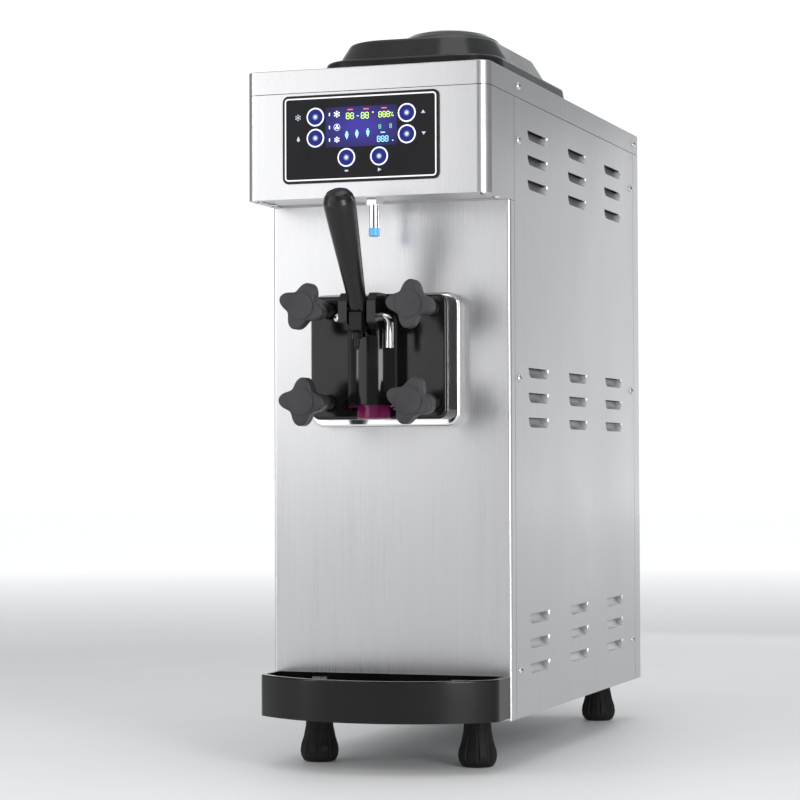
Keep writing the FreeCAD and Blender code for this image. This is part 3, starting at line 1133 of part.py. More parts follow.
def pulley(radius, z, shaft_from):
    """A grooved pulley with its shaft running forward to the gearbox or the motor."""
    y0 = PULLEY_Y
    y1 = PULLEY_Y + PULLEY_WIDTH
    wheel = rod_y(radius, 0, z, y0, y1)
    groove_half = BELT_WIDTH / 2.0 + BELT_GAP
    middle = (y0 + y1) / 2.0
    floor = radius - BELT_THICKNESS - BELT_GAP
    groove = rod_y(radius + 1, 0, z, middle - groove_half, middle + groove_half)
    groove = groove.cut(rod_y(floor, 0, z, y0, y1))
    wheel = wheel.cut(groove)
    return join(wheel, [rod_y(GEAR_SHAFT_RADIUS, 0, z, shaft_from, y1)])


def hull_of_circles(z_low, r_low, z_high, r_high, y):
    """The outline of a belt round two pulleys, at one Y."""
    gap = z_high - z_low
    tilt = math.asin((r_high - r_low) / gap)
    c = math.cos(tilt)
    s = math.sin(tilt)
    high_right = Vector(r_high * c, y, z_high - r_high * s)
    high_left = Vector(-r_high * c, y, z_high - r_high * s)
    low_right = Vector(r_low * c, y, z_low - r_low * s)
    low_left = Vector(-r_low * c, y, z_low - r_low * s)
    edges = [
        Part.Arc(high_right, Vector(0, y, z_high + r_high), high_left).toShape(),
        Part.LineSegment(high_left, low_left).toShape(),
        Part.Arc(low_left, Vector(0, y, z_low - r_low), low_right).toShape(),
        Part.LineSegment(low_right, high_right).toShape(),
    ]
    return Part.Wire(edges)


def make_drive():
    big = pulley(PULLEY_RADIUS, HEAD_CENTRE_Z, 284)
    holes = []
    for k in range(5):
        a = math.radians(72 * k)
        holes.append(rod_y(11, 28 * math.cos(a), HEAD_CENTRE_Z + 28 * math.sin(a),
                           PULLEY_Y - 1, PULLEY_Y + PULLEY_WIDTH + 1))
    keep("gearbox_pulley", big.cut(holes))
    keep("motor_pulley", pulley(MOTOR_PULLEY_RADIUS, MOTOR_Z, 303))
    y = PULLEY_Y + (PULLEY_WIDTH - BELT_WIDTH) / 2.0
    outer_big = PULLEY_RADIUS
    outer_small = MOTOR_PULLEY_RADIUS
    outer = Part.Face(hull_of_circles(MOTOR_Z, outer_small, HEAD_CENTRE_Z, outer_big, y))
    inner = Part.Face(hull_of_circles(MOTOR_Z, outer_small - BELT_THICKNESS, HEAD_CENTRE_Z,
                                      outer_big - BELT_THICKNESS, y))
    belt = outer.extrude(Vector(0, BELT_WIDTH, 0)).cut(inner.extrude(Vector(0, BELT_WIDTH, 0)))
    keep("drive_belt", belt)


def make_motor():
    body = rod_y(MOTOR_RADIUS, 0, MOTOR_Z, 190, 300)
    bells = [rod_y(MOTOR_RADIUS - 5, 0, MOTOR_Z, 180, 312)]
    base = block(-52, 52, 205, 290, SHELF_TOP, SHELF_TOP + 5)
    legs = [block(x, x + 5, 215, 280, SHELF_TOP, MOTOR_Z - 20) for x in (-44, 39)]
    fins = []
    for k in range(24):
        fin = block(-0.8, 0.8, 196, 294, MOTOR_Z + MOTOR_RADIUS - 1, MOTOR_Z + MOTOR_RADIUS + 2.5)
        angle = 15.0 * k
        if 60 <= angle <= 300:
            fin.rotate(Vector(0, 0, MOTOR_Z), Vector(0, 1, 0), angle)
            fins.append(fin)
    motor = join(body, bells + [base] + legs + fins)
    motor = motor.cut(block(-60, 60, 150, 320, 0, SHELF_TOP))
    keep("beater_motor", motor.cut(rod_y(GEAR_SHAFT_RADIUS + RUNNING_FIT, 0, MOTOR_Z, 300, 320)))


def compressor_form():
    profile = [(0, 16), (40, 16), (54, 22), (COMPRESSOR_RADIUS, 32), (COMPRESSOR_RADIUS, 74),
               (60.5, 75), (60.5, 79), (COMPRESSOR_RADIUS, 80), (COMPRESSOR_RADIUS, 105), (52, 122),
               (38, 131), (20, 135), (0, 136)]
    return turned(profile, 0, COMPRESSOR_Y)


def make_compressor():
    plate = block(-75, 75, COMPRESSOR_Y - 45, COMPRESSOR_Y + 45, 12, 15)
    plate = round_edges(plate, 12, lambda e: is_upright(e, 2))
    pads = [rod_z(9, x, COMPRESSOR_Y + y, PAN_SHEET, 12) for x in (-62, 62) for y in (-33, 33)]
    skirt = rod_z(38, 0, COMPRESSOR_Y, 14, 18)
    box = block(56, 78, COMPRESSOR_Y - 22, COMPRESSOR_Y + 18, 50, 95)
    keep("compressor", join(compressor_form(), [plate, skirt, box] + pads))


def condenser_form():
    return block(-CONDENSER_HALF_WIDTH, CONDENSER_HALF_WIDTH, CONDENSER_FRONT_Y, CONDENSER_REAR_Y,
                 PAN_SHEET, CONDENSER_TOP)


def make_condenser():
    y0 = CONDENSER_FRONT_Y
    w = CONDENSER_HALF_WIDTH
    pitch = (2.0 * w - 4.0) / CONDENSER_FINS
    ends = [block(x, x + 2, y0, CONDENSER_REAR_Y, PAN_SHEET, CONDENSER_TOP) for x in (-w, w - 2)]
    fins = []
    for k in range(1, CONDENSER_FINS + 1):
        x = -w + pitch * k
        fins.append(block(x - 0.4, x + 0.4, y0 + 1, CONDENSER_REAR_Y - 1, 8, CONDENSER_TOP - 4))
    tubes = [rod_x(4.5, y, 25.0 + 30.0 * row, -w, w) for row in range(7) for y in (y0 + 10, y0 + 28)]
    keep("condenser", join(ends[0], [ends[1]] + fins + tubes))


def make_fan():
    blades = []
    for k in range(5):
        root = [(-9, -8), (-9, -6.2), (9, 8), (9, 6.2)]
        inner = [Vector(x, y, 20) for x, y in root]
        outer = [Vector(x * 2.3, y * 0.8, FAN_RADIUS) for x, y in root]
        sections = [Part.makePolygon(inner + [inner[0]]), Part.makePolygon(outer + [outer[0]])]
        loft = Part.makeLoft(sections, True)
        loft.rotate(Vector(0, 0, 0), Vector(0, 1, 0), 72.0 * k)
        loft.translate(Vector(0, FAN_Y, FAN_Z))
        blades.append(loft)
    hub = rod_y(24, 0, FAN_Z, FAN_Y - 9, FAN_Y + 9)
    shaft = rod_y(3, 0, FAN_Z, FAN_Y - 24, FAN_Y)
    keep("fan_blades", join(hub, blades + [shaft]))
    motor = rod_y(27, 0, FAN_Z, FAN_Y - 58, FAN_Y - 14)
    arms = []
    arm_end = FAN_OPENING + 13.0
    for angle in (45, 135, 225, 315):
        arm = block(-5, 5, FAN_Y - 40, FAN_Y - 37, 24, arm_end)
        foot = block(-5, 5, FAN_Y - 40, FAN_Y + 16, arm_end - 3, arm_end)
        piece = arm.fuse(foot)
        piece.rotate(Vector(0, 0, 0), Vector(0, 1, 0), angle)
        piece.translate(Vector(0, 0, FAN_Z))
        arms.append(piece)
    w = CONDENSER_HALF_WIDTH
    shroud = block(-w, w, FAN_Y + 13, FAN_Y + 16, PAN_SHEET, CONDENSER_TOP)
    shroud = shroud.cut(rod_y(FAN_OPENING, 0, FAN_Z, FAN_Y, FAN_Y + 20))
    unit = join(motor, arms + [shroud])
    keep("fan_motor", unit.cut(rod_y(3 + RUNNING_FIT, 0, FAN_Z, FAN_Y - 25, FAN_Y)))


def make_pipework():
    """Copper lines: compressor to condenser, condenser through the drier to the cylinder, and back."""
    rear = (CONDENSER_FRONT_Y + CONDENSER_REAR_Y) / 2.0
    w = CONDENSER_HALF_WIDTH
    back_x = INSIDE - RETURN_PIPE_SIDE_GAP
    hot = bent_tube([(30, COMPRESSOR_Y, 120), (30, COMPRESSOR_Y, 252), (PIPE_X, COMPRESSOR_Y, 252),
                     (PIPE_X, rear, 252), (w - 15, rear, 252), (w - 15, rear, CONDENSER_TOP - 30)], 4.0, 9)
    liquid = bent_tube([(5 - w, rear, 25), (-PIPE_X, rear, 25), (-PIPE_X, 170, 25),
                        (-PIPE_X, 170, HEAD_CENTRE_Z), (-30, 170, HEAD_CENTRE_Z)], 3.2, 6)
    drier = rod_y(9, -PIPE_X, 25, 240, 330)
    back = bent_tube([(30, 40, HEAD_CENTRE_Z), (back_x, 40, HEAD_CENTRE_Z), (back_x, 40, 110),
                      (40, 70, 110)], 5.0, 12)
    obstacles = [pieces["compressor"], condenser_form(), pieces["freezing_cylinder"],
                 rod_y(CYLINDER_BORE, 0, HEAD_CENTRE_Z, 0, CYLINDER_LENGTH), compressor_form()]
    liquid = join(liquid, [drier])
    lines = [line.cut(obstacles) for line in (hot, liquid, back)]
    solids = []
    for line in lines:
        solids.append(max(line.Solids, key=lambda s: s.Volume))
    keep("refrigerant_lines", Part.makeCompound(solids))
    keep("insulation", pieces["insulation"].cut(solids))


def make_power_board():
    y = REAR_INSIDE - 14.0
    z1 = PANEL_TOP - POWER_BOARD_TOP_INSET
    z0 = z1 - POWER_BOARD_HEIGHT
    board = block(-60, 60, y, y + 1.6, z0, z1)
    extras = [rod_y(3.5, x, z, y + 1, REAR_INSIDE) for x in (-54, 54) for z in (z0 + 6, z1 - 6)]
    extras.append(block(-50, -10, y - 30, y + 1, z0 + 10, z0 + 50))
    for k in range(4):
        extras.append(block(5 + 12 * k, 14 + 12 * k, y - 16, y + 1, z0 + 10, z0 + 32))
    for x in (-40, -18, 4):
        extras.append(rod_y(8, x, z0 + 80, y - 28, y + 1))
    for k in range(6):
        low = z0 + 62 + 8 * k
        extras.append(block(22, 52, y - 12, y + 1, low, low + 6))
    keep("power_board", join(board, extras))


def make_gland():
    y = CABINET_DEPTH
    body = rod_y(GLAND_RADIUS, GLAND_X, GLAND_Z, REAR_INSIDE - 8, y + 2)
    nut = Part.Face(outline([(GLAND_X + 13.5 * math.cos(math.radians(60 * k)), y,
                              GLAND_Z + 13.5 * math.sin(math.radians(60 * k))) for k in range(6)]))
    nut = nut.extrude(Vector(0, 5, 0))
    dome = Part.makeCone(11.5, 7.0, 8, Vector(GLAND_X, y + 5, GLAND_Z), Vector(0, 1, 0))
    back_nut = rod_y(13.5, GLAND_X, GLAND_Z, REAR_INSIDE - 5, REAR_INSIDE)
    bore = rod_y(CORD_RADIUS, GLAND_X, GLAND_Z, y - 20, y + 20)
    keep("cord_gland", join(body, [nut, dome, back_nut]).cut(bore))


make_base_pan()
make_frame()
make_feet()
make_side_panels()
make_front_panel()
make_rear_panel()
make_head()
make_top_cover()
make_screws()
make_hopper()
make_lid()
make_tray()
make_fascia()
make_flange()
front_seal = make_dispensing_block()
make_piston()
make_nozzle()
make_handle()
make_pin()
make_knobs()
make_spout()
make_cylinder(front_seal)
make_beater()
make_gearbox()
make_drive()
make_motor()
make_compressor()
make_condenser()
make_fan()
make_pipework()
make_power_board()
make_gland()

# ---------------------------------------------------------------- the machine's own frame
boxes = [shape.optimalBoundingBox(False, False) for shape in pieces.values()]
FRONT_Y = min(box.YMin for box in boxes)
BACK_Y = max(box.YMax for box in boxes)
ORIGIN_SHIFT = Vector(0, -(FRONT_Y + BACK_Y) / 2.0, FOOT_HEIGHT)

for name, shape in pieces.items():
    placed = shape.copy()
    placed.translate(ORIGIN_SHIFT)
    placed.exportStep(os.path.join("parts", name + ".step"))

print(len(pieces), "nodes, origin shift", tuple(round(v, 3) for v in ORIGIN_SHIFT))
print("piston stroke", round(PISTON_STROKE, 3))
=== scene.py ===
# %% [markdown]
# # A countertop soft serve machine
# The machine's pieces come ready made, in metres, in one frame: X to the right seen from the front,
# Y to the rear, Z up, with the origin on the counter. This lesson gives each piece its finish and adds
# the small things that a drawing of the hard parts leaves out. Loading comes first, because every
# later place is measured from a loaded piece.

# %% Load the pieces
import json
import math
import bpy
import bmesh
from mathutils import Matrix, Vector


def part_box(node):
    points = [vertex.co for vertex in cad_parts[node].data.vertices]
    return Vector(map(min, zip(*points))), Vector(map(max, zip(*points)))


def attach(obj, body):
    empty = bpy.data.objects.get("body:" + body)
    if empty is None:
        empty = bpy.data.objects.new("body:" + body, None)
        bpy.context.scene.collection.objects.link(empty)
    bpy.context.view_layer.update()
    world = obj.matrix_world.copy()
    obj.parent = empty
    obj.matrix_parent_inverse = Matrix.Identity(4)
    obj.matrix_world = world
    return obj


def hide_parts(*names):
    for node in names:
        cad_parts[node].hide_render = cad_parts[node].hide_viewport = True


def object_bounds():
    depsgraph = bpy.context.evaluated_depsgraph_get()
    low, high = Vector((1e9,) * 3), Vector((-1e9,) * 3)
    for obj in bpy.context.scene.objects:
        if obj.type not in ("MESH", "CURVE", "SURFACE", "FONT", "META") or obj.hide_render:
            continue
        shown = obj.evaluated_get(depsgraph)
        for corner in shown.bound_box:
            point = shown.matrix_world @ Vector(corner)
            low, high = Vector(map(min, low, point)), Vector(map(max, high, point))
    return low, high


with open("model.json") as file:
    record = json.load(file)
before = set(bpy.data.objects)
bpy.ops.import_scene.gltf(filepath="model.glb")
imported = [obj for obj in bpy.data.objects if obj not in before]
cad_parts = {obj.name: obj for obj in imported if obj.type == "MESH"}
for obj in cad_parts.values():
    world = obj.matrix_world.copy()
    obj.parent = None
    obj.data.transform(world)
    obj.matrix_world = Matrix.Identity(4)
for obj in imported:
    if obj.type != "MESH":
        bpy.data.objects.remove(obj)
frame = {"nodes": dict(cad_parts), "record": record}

cad_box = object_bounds()
nodes = frame["nodes"]
print(len(nodes), "pieces, box", [round(v, 3) for v in (*cad_box[0], *cad_box[1])])

# %% [markdown]
# ## Measuring from the machine
# The base pan lies on the cabinet's underside, just behind the front panel, so its low corner fixes the
# cabinet. The fascia bezel fixes the display. A helper turns millimetres on the cabinet into a place.

# %% Places on the cabinet
MM = 0.001
PAN_INSET = 1.2
pan_low, pan_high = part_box("base_pan")
bezel_low, bezel_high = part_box("fascia_bezel")
cabinet_origin = Vector(((pan_low.x + pan_high.x) / 2, pan_low.y - PAN_INSET * MM, pan_low.z))


def on_cabinet(x, y, z):
    """A place from millimetres off the middle, behind the front panel's face and above the underside."""
    return cabinet_origin + Vector((x, y, z)) * MM


def middle_of(node):
    low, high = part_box(node)
    return (low + high) / 2


print("cabinet starts at", [round(v, 4) for v in cabinet_origin])

# %% [markdown]
# ## Making a mesh piece
# New pieces are plain meshes with their place in their points, so that a pattern in object space stays
# put. Flat marks are thin prisms: an outline facing front, given a little depth. One helper turns the
# faces of a drawn shape outwards and gives it back as a mesh.

# %% Helpers for new pieces
def mesh_of(name, shape, outward=True):
    """A mesh from a drawn shape. An open sheet keeps its faces as they were drawn."""
    if outward:
        bmesh.ops.recalc_face_normals(shape, faces=shape.faces)
    mesh = bpy.data.meshes.new(name)
    shape.to_mesh(mesh)
    shape.free()
    return mesh


def add_piece(name, mesh, body, material):
    """Put a finished mesh in the scene, flat shaded, and tie it to its body."""
    piece = bpy.data.objects.new(name, mesh)
    bpy.context.scene.collection.objects.link(piece)
    mesh.materials.clear()
    mesh.materials.append(material)
    for face in mesh.polygons:
        face.use_smooth = False
    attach(piece, body)
    return piece


def front_prisms(name, outlines, front_y, back_y):
    """A mesh of closed prisms whose outlines face the front: each outline is a list of X, Z in metres."""
    shape = bmesh.new()
    for outline in outlines:
        near = [shape.verts.new((x, front_y, z)) for x, z in outline]
        far = [shape.verts.new((x, back_y, z)) for x, z in outline]
        shape.faces.new(near)
        shape.faces.new(list(reversed(far)))
        for k in range(len(outline)):
            j = (k + 1) % len(outline)
            shape.faces.new((near[j], near[k], far[k], far[j]))
    return mesh_of(name, shape)


# %% [markdown]
# ## Writing a finish as sums
# A finish is a small network of nodes, which reads badly as a list of links. One class wraps a node's
# output so that ordinary sums build the Math nodes, and another holds the finish and makes any other
# node from its type, its settings and its sockets.

# %% The finish maker
class Flow:
    """One output of a finish's network, with arithmetic."""

    def __init__(self, finish, socket):
        self.finish = finish
        self.socket = socket

    def sum(self, operation, first, second):
        return self.finish.node("ShaderNodeMath", {"operation": operation}, {0: first, 1: second})

    def __add__(self, other):
        return self.sum("ADD", self, other)

    __radd__ = __add__

    def __sub__(self, other):
        return self.sum("SUBTRACT", self, other)

    def __rsub__(self, other):
        return self.sum("SUBTRACT", other, self)

    def __mul__(self, other):
        return self.sum("MULTIPLY", self, other)

    __rmul__ = __mul__

    def above(self, limit):
        return self.sum("GREATER_THAN", self, limit)


class Network:
    """A tree of shader nodes, and a way to add any node to it."""

    def __init__(self, tree):
        self.tree = tree

    def node(self, kind, settings=None, sockets=None, out=0):
        made = self.tree.nodes.new(kind)
        for key, value in (settings or {}).items():
            setattr(made, key, value)
        for key, value in (sockets or {}).items():
            if isinstance(value, Flow):
                self.tree.links.new(value.socket, made.inputs[key])
            else:
                made.inputs[key].default_value = value
        return Flow(self, made.outputs[out])

    def stretch(self, flow, low, high, to_low=0.0, to_high=1.0):
        sockets = {0: flow, 1: low, 2: high, 3: to_low, 4: to_high}
        return self.node("ShaderNodeMapRange", None, sockets)

    def blend(self, amount, first, second):
        """A colour between two others."""
        return self.node("ShaderNodeMix", {"data_type": "RGBA"}, {0: amount, 6: first, 7: second}, 2)


class Finish(Network):
    """A material under construction: constants on its surface node, patterns added one by one."""

    def __init__(self, name, **constants):
        self.material = bpy.data.materials.new(name)
        self.material.use_nodes = True
        super().__init__(self.material.node_tree)
        self.surface = self.tree.nodes["Principled BSDF"]
        for key, value in constants.items():
            self.surface.inputs[key.replace("_", " ")].default_value = value

    def place(self):
        return self.node("ShaderNodeTexCoord", out="Object")

    def scaled(self, scale):
        return self.node("ShaderNodeMapping", None, {"Vector": self.place(), "Scale": scale})

    def noise(self, scale, detail=3.0, roughness=0.5):
        """Soft random spots: scale is how many to the metre along X, Y and Z."""
        sockets = {"Vector": self.scaled(scale), "Scale": 1.0, "Detail": detail, "Roughness": roughness}
        return self.node("ShaderNodeTexNoise", None, sockets)

    def bump(self, height, depth, strength):
        """Relief: depth is the height of a full step, in metres."""
        sockets = {"Height": height, "Distance": depth, "Strength": strength}
        return self.node("ShaderNodeBump", None, sockets)

    def feed(self, **flows):
        for key, flow in flows.items():
            self.tree.links.new(flow.socket, self.surface.inputs[key.replace("_", " ")])
        return self.material


def tone(slot_name):
    """The colour that the parts list gives a finish, as four numbers."""
    found = [m for m in frame["record"]["materials"] if m["slot"] == slot_name][0]
    colour = list(found["base_color"])
    return colour + [1.0] if len(colour) == 3 else colour


def dimmer(colour, share):
    return [c * share for c in colour[:3]] + [1.0]


# %% [markdown]
# ## Brushed stainless steel
# The casing is sheet steel brushed upright by an abrasive belt. Each scratch is long and thin, so the
# pattern is noise squeezed across and stretched along the grain. On level faces, such as the top cover,
# the belt ran front to back. Wiping leaves broad, barely visible smears that change only the gloss.

# %% Brushed casing
def brushed(name, slot_name, gloss, contrast=0.06):
    steel = Finish(name, Metallic=1.0, Roughness=gloss)
    upright = steel.noise((2400, 2400, 9), 5.0, 0.6)
    level = steel.noise((2400, 9, 2400), 5.0, 0.6)
    facing = steel.node("ShaderNodeNewGeometry", out="Normal")
    upward = steel.node("ShaderNodeSeparateXYZ", None, {0: facing}, 2)
    on_top = (upward * upward).above(0.5)
    grain = upright * (1 - on_top) + level * on_top
    bands = steel.noise((95, 95, 1.6), 3.0)
    smears = steel.noise((7, 7, 5), 4.0, 0.6)
    colour = tone(slot_name)
    shade = steel.stretch(grain * 0.8 + bands * 0.2, 0.3, 0.7)
    brushed_colour = steel.blend(shade, dimmer(colour, 1.0 - contrast),
                                 dimmer(colour, 1.0 + contrast * 0.6))
    rough = steel.stretch(grain, 0.3, 0.7, gloss - 0.04, gloss + 0.05)
    rough = rough + steel.stretch(smears, 0.35, 0.75, -0.015, 0.035)
    relief = steel.bump(grain, 0.00003, 0.35)
    return steel.feed(Base_Color=brushed_colour, Roughness=rough, Normal=relief)


casing_steel = brushed("brushed_stainless_casing", "brushed_stainless", 0.3)
print("brushed casing made")

# %% [markdown]
# ## Plain, polished and zinc-coated steel
# Satin parts are wiped in no direction. Polished parts keep a few hairline scratches. Zinc coating
# freezes into flat crystals, called spangle, which cell noise imitates.

# %% Other metals
def satin_metal(name, slot_name, gloss, grain=900):
    metal = Finish(name, Metallic=1.0, Roughness=gloss)
    fine = metal.noise((grain, grain, grain), 4.0)
    broad = metal.noise((14, 14, 14), 3.0)
    colour = tone(slot_name)
    varied = metal.blend(metal.stretch(broad, 0.3, 0.7), dimmer(colour, 0.86), dimmer(colour, 1.06))
    rough = metal.stretch(fine, 0.3, 0.7, gloss - 0.05, gloss + 0.07)
    return metal.feed(Base_Color=varied, Roughness=rough, Normal=metal.bump(fine, 0.00002, 0.35))


def polished_metal(name, slot_name):
    metal = Finish(name, Metallic=1.0, Roughness=0.08)
    hairlines = metal.noise((2600, 160, 160), 2.0)
    marks = metal.stretch(hairlines, 0.58, 0.75)
    haze = metal.noise((30, 30, 30), 3.0)
    colour = tone(slot_name)
    varied = metal.blend(metal.stretch(haze, 0.35, 0.7), dimmer(colour, 0.93), dimmer(colour, 1.05))
    rough = marks * 0.1 + metal.stretch(haze, 0.3, 0.7, 0.05, 0.11)
    return metal.feed(Base_Color=varied, Roughness=rough, Normal=metal.bump(hairlines, 0.00001, 0.15))


def spangled_zinc(name, slot_name):
    zinc = Finish(name, Metallic=1.0, Roughness=0.42)
    crystals = {"Vector": zinc.scaled((190, 190, 190)), "Scale": 1.0}
    cells = zinc.node("ShaderNodeTexVoronoi", None, crystals, 1)
    fine = zinc.noise((700, 700, 700), 3.0)
    cell_tone = zinc.node("ShaderNodeSeparateColor", None, {0: cells}, 0)
    colour = tone(slot_name)
    varied = zinc.blend(cell_tone, dimmer(colour, 0.8), dimmer(colour, 1.15))
    rough = cell_tone * 0.16 + zinc.stretch(fine, 0.3, 0.7, 0.3, 0.38)
    return zinc.feed(Base_Color=varied, Roughness=rough, Normal=zinc.bump(fine, 0.00003, 0.3))


plain_steel = satin_metal("satin_steel", "plain_steel", 0.34)
bright_steel = polished_metal("polished_steel", "bright_steel")
zinc_sheet = spangled_zinc("zinc_coated_sheet", "galvanised_steel")
cast_metal = satin_metal("cast_aluminium", "cast_aluminium", 0.52, 420)
fin_metal = satin_metal("fin_aluminium", "fin_aluminium", 0.38)
copper_tube = satin_metal("copper_tube", "copper", 0.3, 600)
print("six metals made")

# %% [markdown]
# ## Moulded plastics, rubber and paint
# A mould leaves its own texture: fine pits on grips and knobs, a smooth skin on the tray and the block.
# A little dust and rubbing is what keeps a dark plastic from looking like a hole, so the tone and the
# gloss both wander slightly.

# %% Plastics, rubber and paint
def moulded(name, slot_name, gloss, pits=0.00002, pit_size=1500, wander=0.25, share=1.0, **constants):
    plastic = Finish(name, Roughness=gloss, **constants)
    texture = plastic.noise((pit_size, pit_size, pit_size), 3.0)
    rubbed = plastic.noise((26, 26, 26), 4.0, 0.6)
    colour = tone(slot_name)
    varied = plastic.blend(plastic.stretch(rubbed, 0.3, 0.72), dimmer(colour, share * (1.0 - wander * 0.5)),
                           dimmer(colour, share * (1.0 + wander)))
    rough = plastic.stretch(rubbed, 0.3, 0.7, gloss - 0.04, gloss + 0.07)
    return plastic.feed(Base_Color=varied, Roughness=rough, Normal=plastic.bump(texture, pits, 0.6))


DULL = {"Specular_IOR_Level": 0.25}
SHINY = {"Specular_IOR_Level": 0.4}
lid_plastic = moulded("lid_moulding", "lid_plastic", 0.18, share=0.25, **SHINY)
tray_plastic = moulded("tray_moulding", "tray_plastic", 0.15, 0.000008, 600, share=0.3,
                       Specular_IOR_Level=0.3)
block_plastic = moulded("block_moulding", "block_plastic", 0.13, 0.000008, 700, share=0.25, **SHINY)
knob_plastic = moulded("knob_moulding", "knob_plastic", 0.4, 0.00005, 1700, 0.3, share=1.1, **DULL)
grip_plastic = moulded("grip_moulding", "grip_plastic", 0.25, 0.00002, 1500, share=0.3, **SHINY)
frame_plastic = moulded("bezel_moulding", "gloss_black", 0.14, 0.000005, 500, **DULL)
white_plastic = moulded("piston_moulding", "white_plastic", 0.4, 0.00002, 900, 0.04)
nozzle_plastic = moulded("nozzle_moulding", "nozzle_magenta", 0.12, 0.000008, 500, 0.2, share=0.5,
                         Transmission_Weight=0.3)
tip_plastic = moulded("tip_moulding", "tip_blue", 0.22, 0.000008, 500, 0.08)
black_rubber = moulded("black_rubber", "black_rubber", 0.6, 0.00006, 1100, 0.6, share=0.6, **DULL)
board_finish = moulded("board_mask", "board_green", 0.3, 0.00003, 500, 0.2)
black_paint = moulded("black_paint", "black_steel", 0.28, 0.00002, 500, share=0.25, **DULL)
motor_paint = moulded("motor_paint", "motor_paint", 0.4, 0.00003, 500)
compressor_paint = moulded("compressor_paint", "compressor_paint", 0.24, 0.00004, 320)
foam = moulded("closed_cell_foam", "foam", 0.85, 0.0003, 480, 0.12)
print("fifteen mouldings and paints made")

# %% [markdown]
# ## The lit fascia
# Behind the glossy panel a window glows blue-violet, brightest low and in the middle. Each membrane
# button has a white ring, a deep blue field and a bright centre. A ring is distance from the button's
# own middle, so each button has its finish centred on itself.

# %% Glass, window glow and buttons
BUTTON_FIELD = 8.9
RING_WIDTH = 1.5


def panel_glass():
    glass = Finish("fascia_glass", Roughness=0.1, Specular_IOR_Level=0.16)
    smears = glass.noise((40, 40, 40), 4.0, 0.6)
    colour = tone("fascia_glass")
    varied = glass.blend(glass.stretch(smears, 0.3, 0.7), dimmer(colour, 0.4), dimmer(colour, 0.8))
    rough = glass.stretch(smears, 0.35, 0.75, 0.07, 0.17)
    return glass.feed(Base_Color=varied, Roughness=rough)


def window_glow(low, high):
    glow = Finish("display_glow", Roughness=0.12, Emission_Strength=1.0, Specular_IOR_Level=0.2)
    middle = (low + high) / 2
    size = high - low
    place = glow.node("ShaderNodeMapping", None, {
        "Vector": glow.place(), "Location": (-middle.x / size.x * 2, 0, -middle.z / size.z * 2),
        "Scale": (2 / size.x, 0.0, 2 / size.z)})
    reach = glow.node("ShaderNodeVectorMath", {"operation": "LENGTH"}, {0: place}, 1)
    edge = glow.stretch(reach, 0.25, 1.35, 1.0, 0.0)
    cloud = glow.noise((60, 60, 60), 2.0)
    lit = glow.blend(edge * 0.8 + cloud * 0.2, (0.004, 0.003, 0.03, 1), (0.035, 0.02, 0.27, 1))
    dark = glow.blend(edge, (0.006, 0.006, 0.02, 1), (0.02, 0.018, 0.1, 1))
    return glow.feed(Base_Color=dark, Emission_Color=lit)


def button_finish(node):
    lit = Finish(node + "_face", Roughness=0.16, Emission_Strength=1.0, Specular_IOR_Level=0.2)
    centre = middle_of(node)
    per_field = 1 / (BUTTON_FIELD * MM)
    place = lit.node("ShaderNodeMapping", None, {
        "Vector": lit.place(), "Location": (-centre.x * per_field, 0, -centre.z * per_field),
        "Scale": (per_field, 0.0, per_field)})
    out = lit.node("ShaderNodeVectorMath", {"operation": "LENGTH"}, {0: place}, 1)
    spark = lit.stretch(out, 0.12, 0.4, 1.0, 0.0)
    field = lit.blend(spark * spark, (0.003, 0.006, 0.12, 1), (0.8, 0.93, 1.0, 1))
    in_ring = out.above(1 - RING_WIDTH / BUTTON_FIELD) * (1 - out.above(0.985))
    glow = lit.blend(in_ring, field, (0.5, 0.52, 0.58, 1))
    body_tone = lit.blend(in_ring, (0.004, 0.006, 0.08, 1), (0.6, 0.62, 0.68, 1))
    return lit.feed(Base_Color=body_tone, Emission_Color=glow)


fascia_glass = panel_glass()
BUTTONS = [name for name in sorted(nodes) if name.startswith("button_")]
for name in BUTTONS:
    nodes[name].data.materials.clear()
    nodes[name].data.materials.append(button_finish(name))
print(len(BUTTONS), "buttons lit")

# %% [markdown]
# ## Dressing the ready-made pieces
# Most pieces already have their true shape, so they only need the right finish. One list says which
# pieces are made of what, in the words of a workshop.

# %% Which piece is made of what
KNOBS = [name for name in sorted(nodes) if name.startswith("knob_")]
COLLARS = [name for name in sorted(nodes) if name.startswith("collar_")]
MADE_OF = [
    (casing_steel, ["front_panel", "left_side_panel", "right_side_panel", "rear_panel", "head_shell",
                    "head_bottom_plate", "top_cover"]),
    (plain_steel, ["freezing_cylinder", "beater", "drive_shaft", "hopper", "feed_tube"]),
    (bright_steel, ["cylinder_flange", "pivot_pin", "spout_tube", "casing_screws"] + COLLARS),
    (zinc_sheet, ["base_pan", "frame", "fan_motor"]),
    (cast_metal, ["gearbox", "gearbox_pulley", "motor_pulley"]),
    (fin_metal, ["condenser"]),
    (copper_tube, ["refrigerant_lines"]),
    (lid_plastic, ["hopper_lid"]),
    (tray_plastic, ["drip_tray"]),
    (block_plastic, ["dispensing_block", "cord_gland", "fan_blades"]),
    (knob_plastic, KNOBS),
    (grip_plastic, ["handle_grip"]),
    (frame_plastic, ["fascia_bezel"]),
    (fascia_glass, ["fascia_panel"]),
    (white_plastic, ["valve_piston"]),
    (nozzle_plastic, ["star_nozzle"]),
    (tip_plastic, ["spout_tip"]),
    (black_rubber, ["feet", "cylinder_seals", "piston_o_rings", "drive_belt"]),
    (board_finish, ["control_board", "power_board"]),
    (black_paint, ["handle_lever", "adjusting_screw"]),
    (motor_paint, ["beater_motor"]),
    (compressor_paint, ["compressor"]),
    (foam, ["insulation"]),
]
dressed = set(BUTTONS)
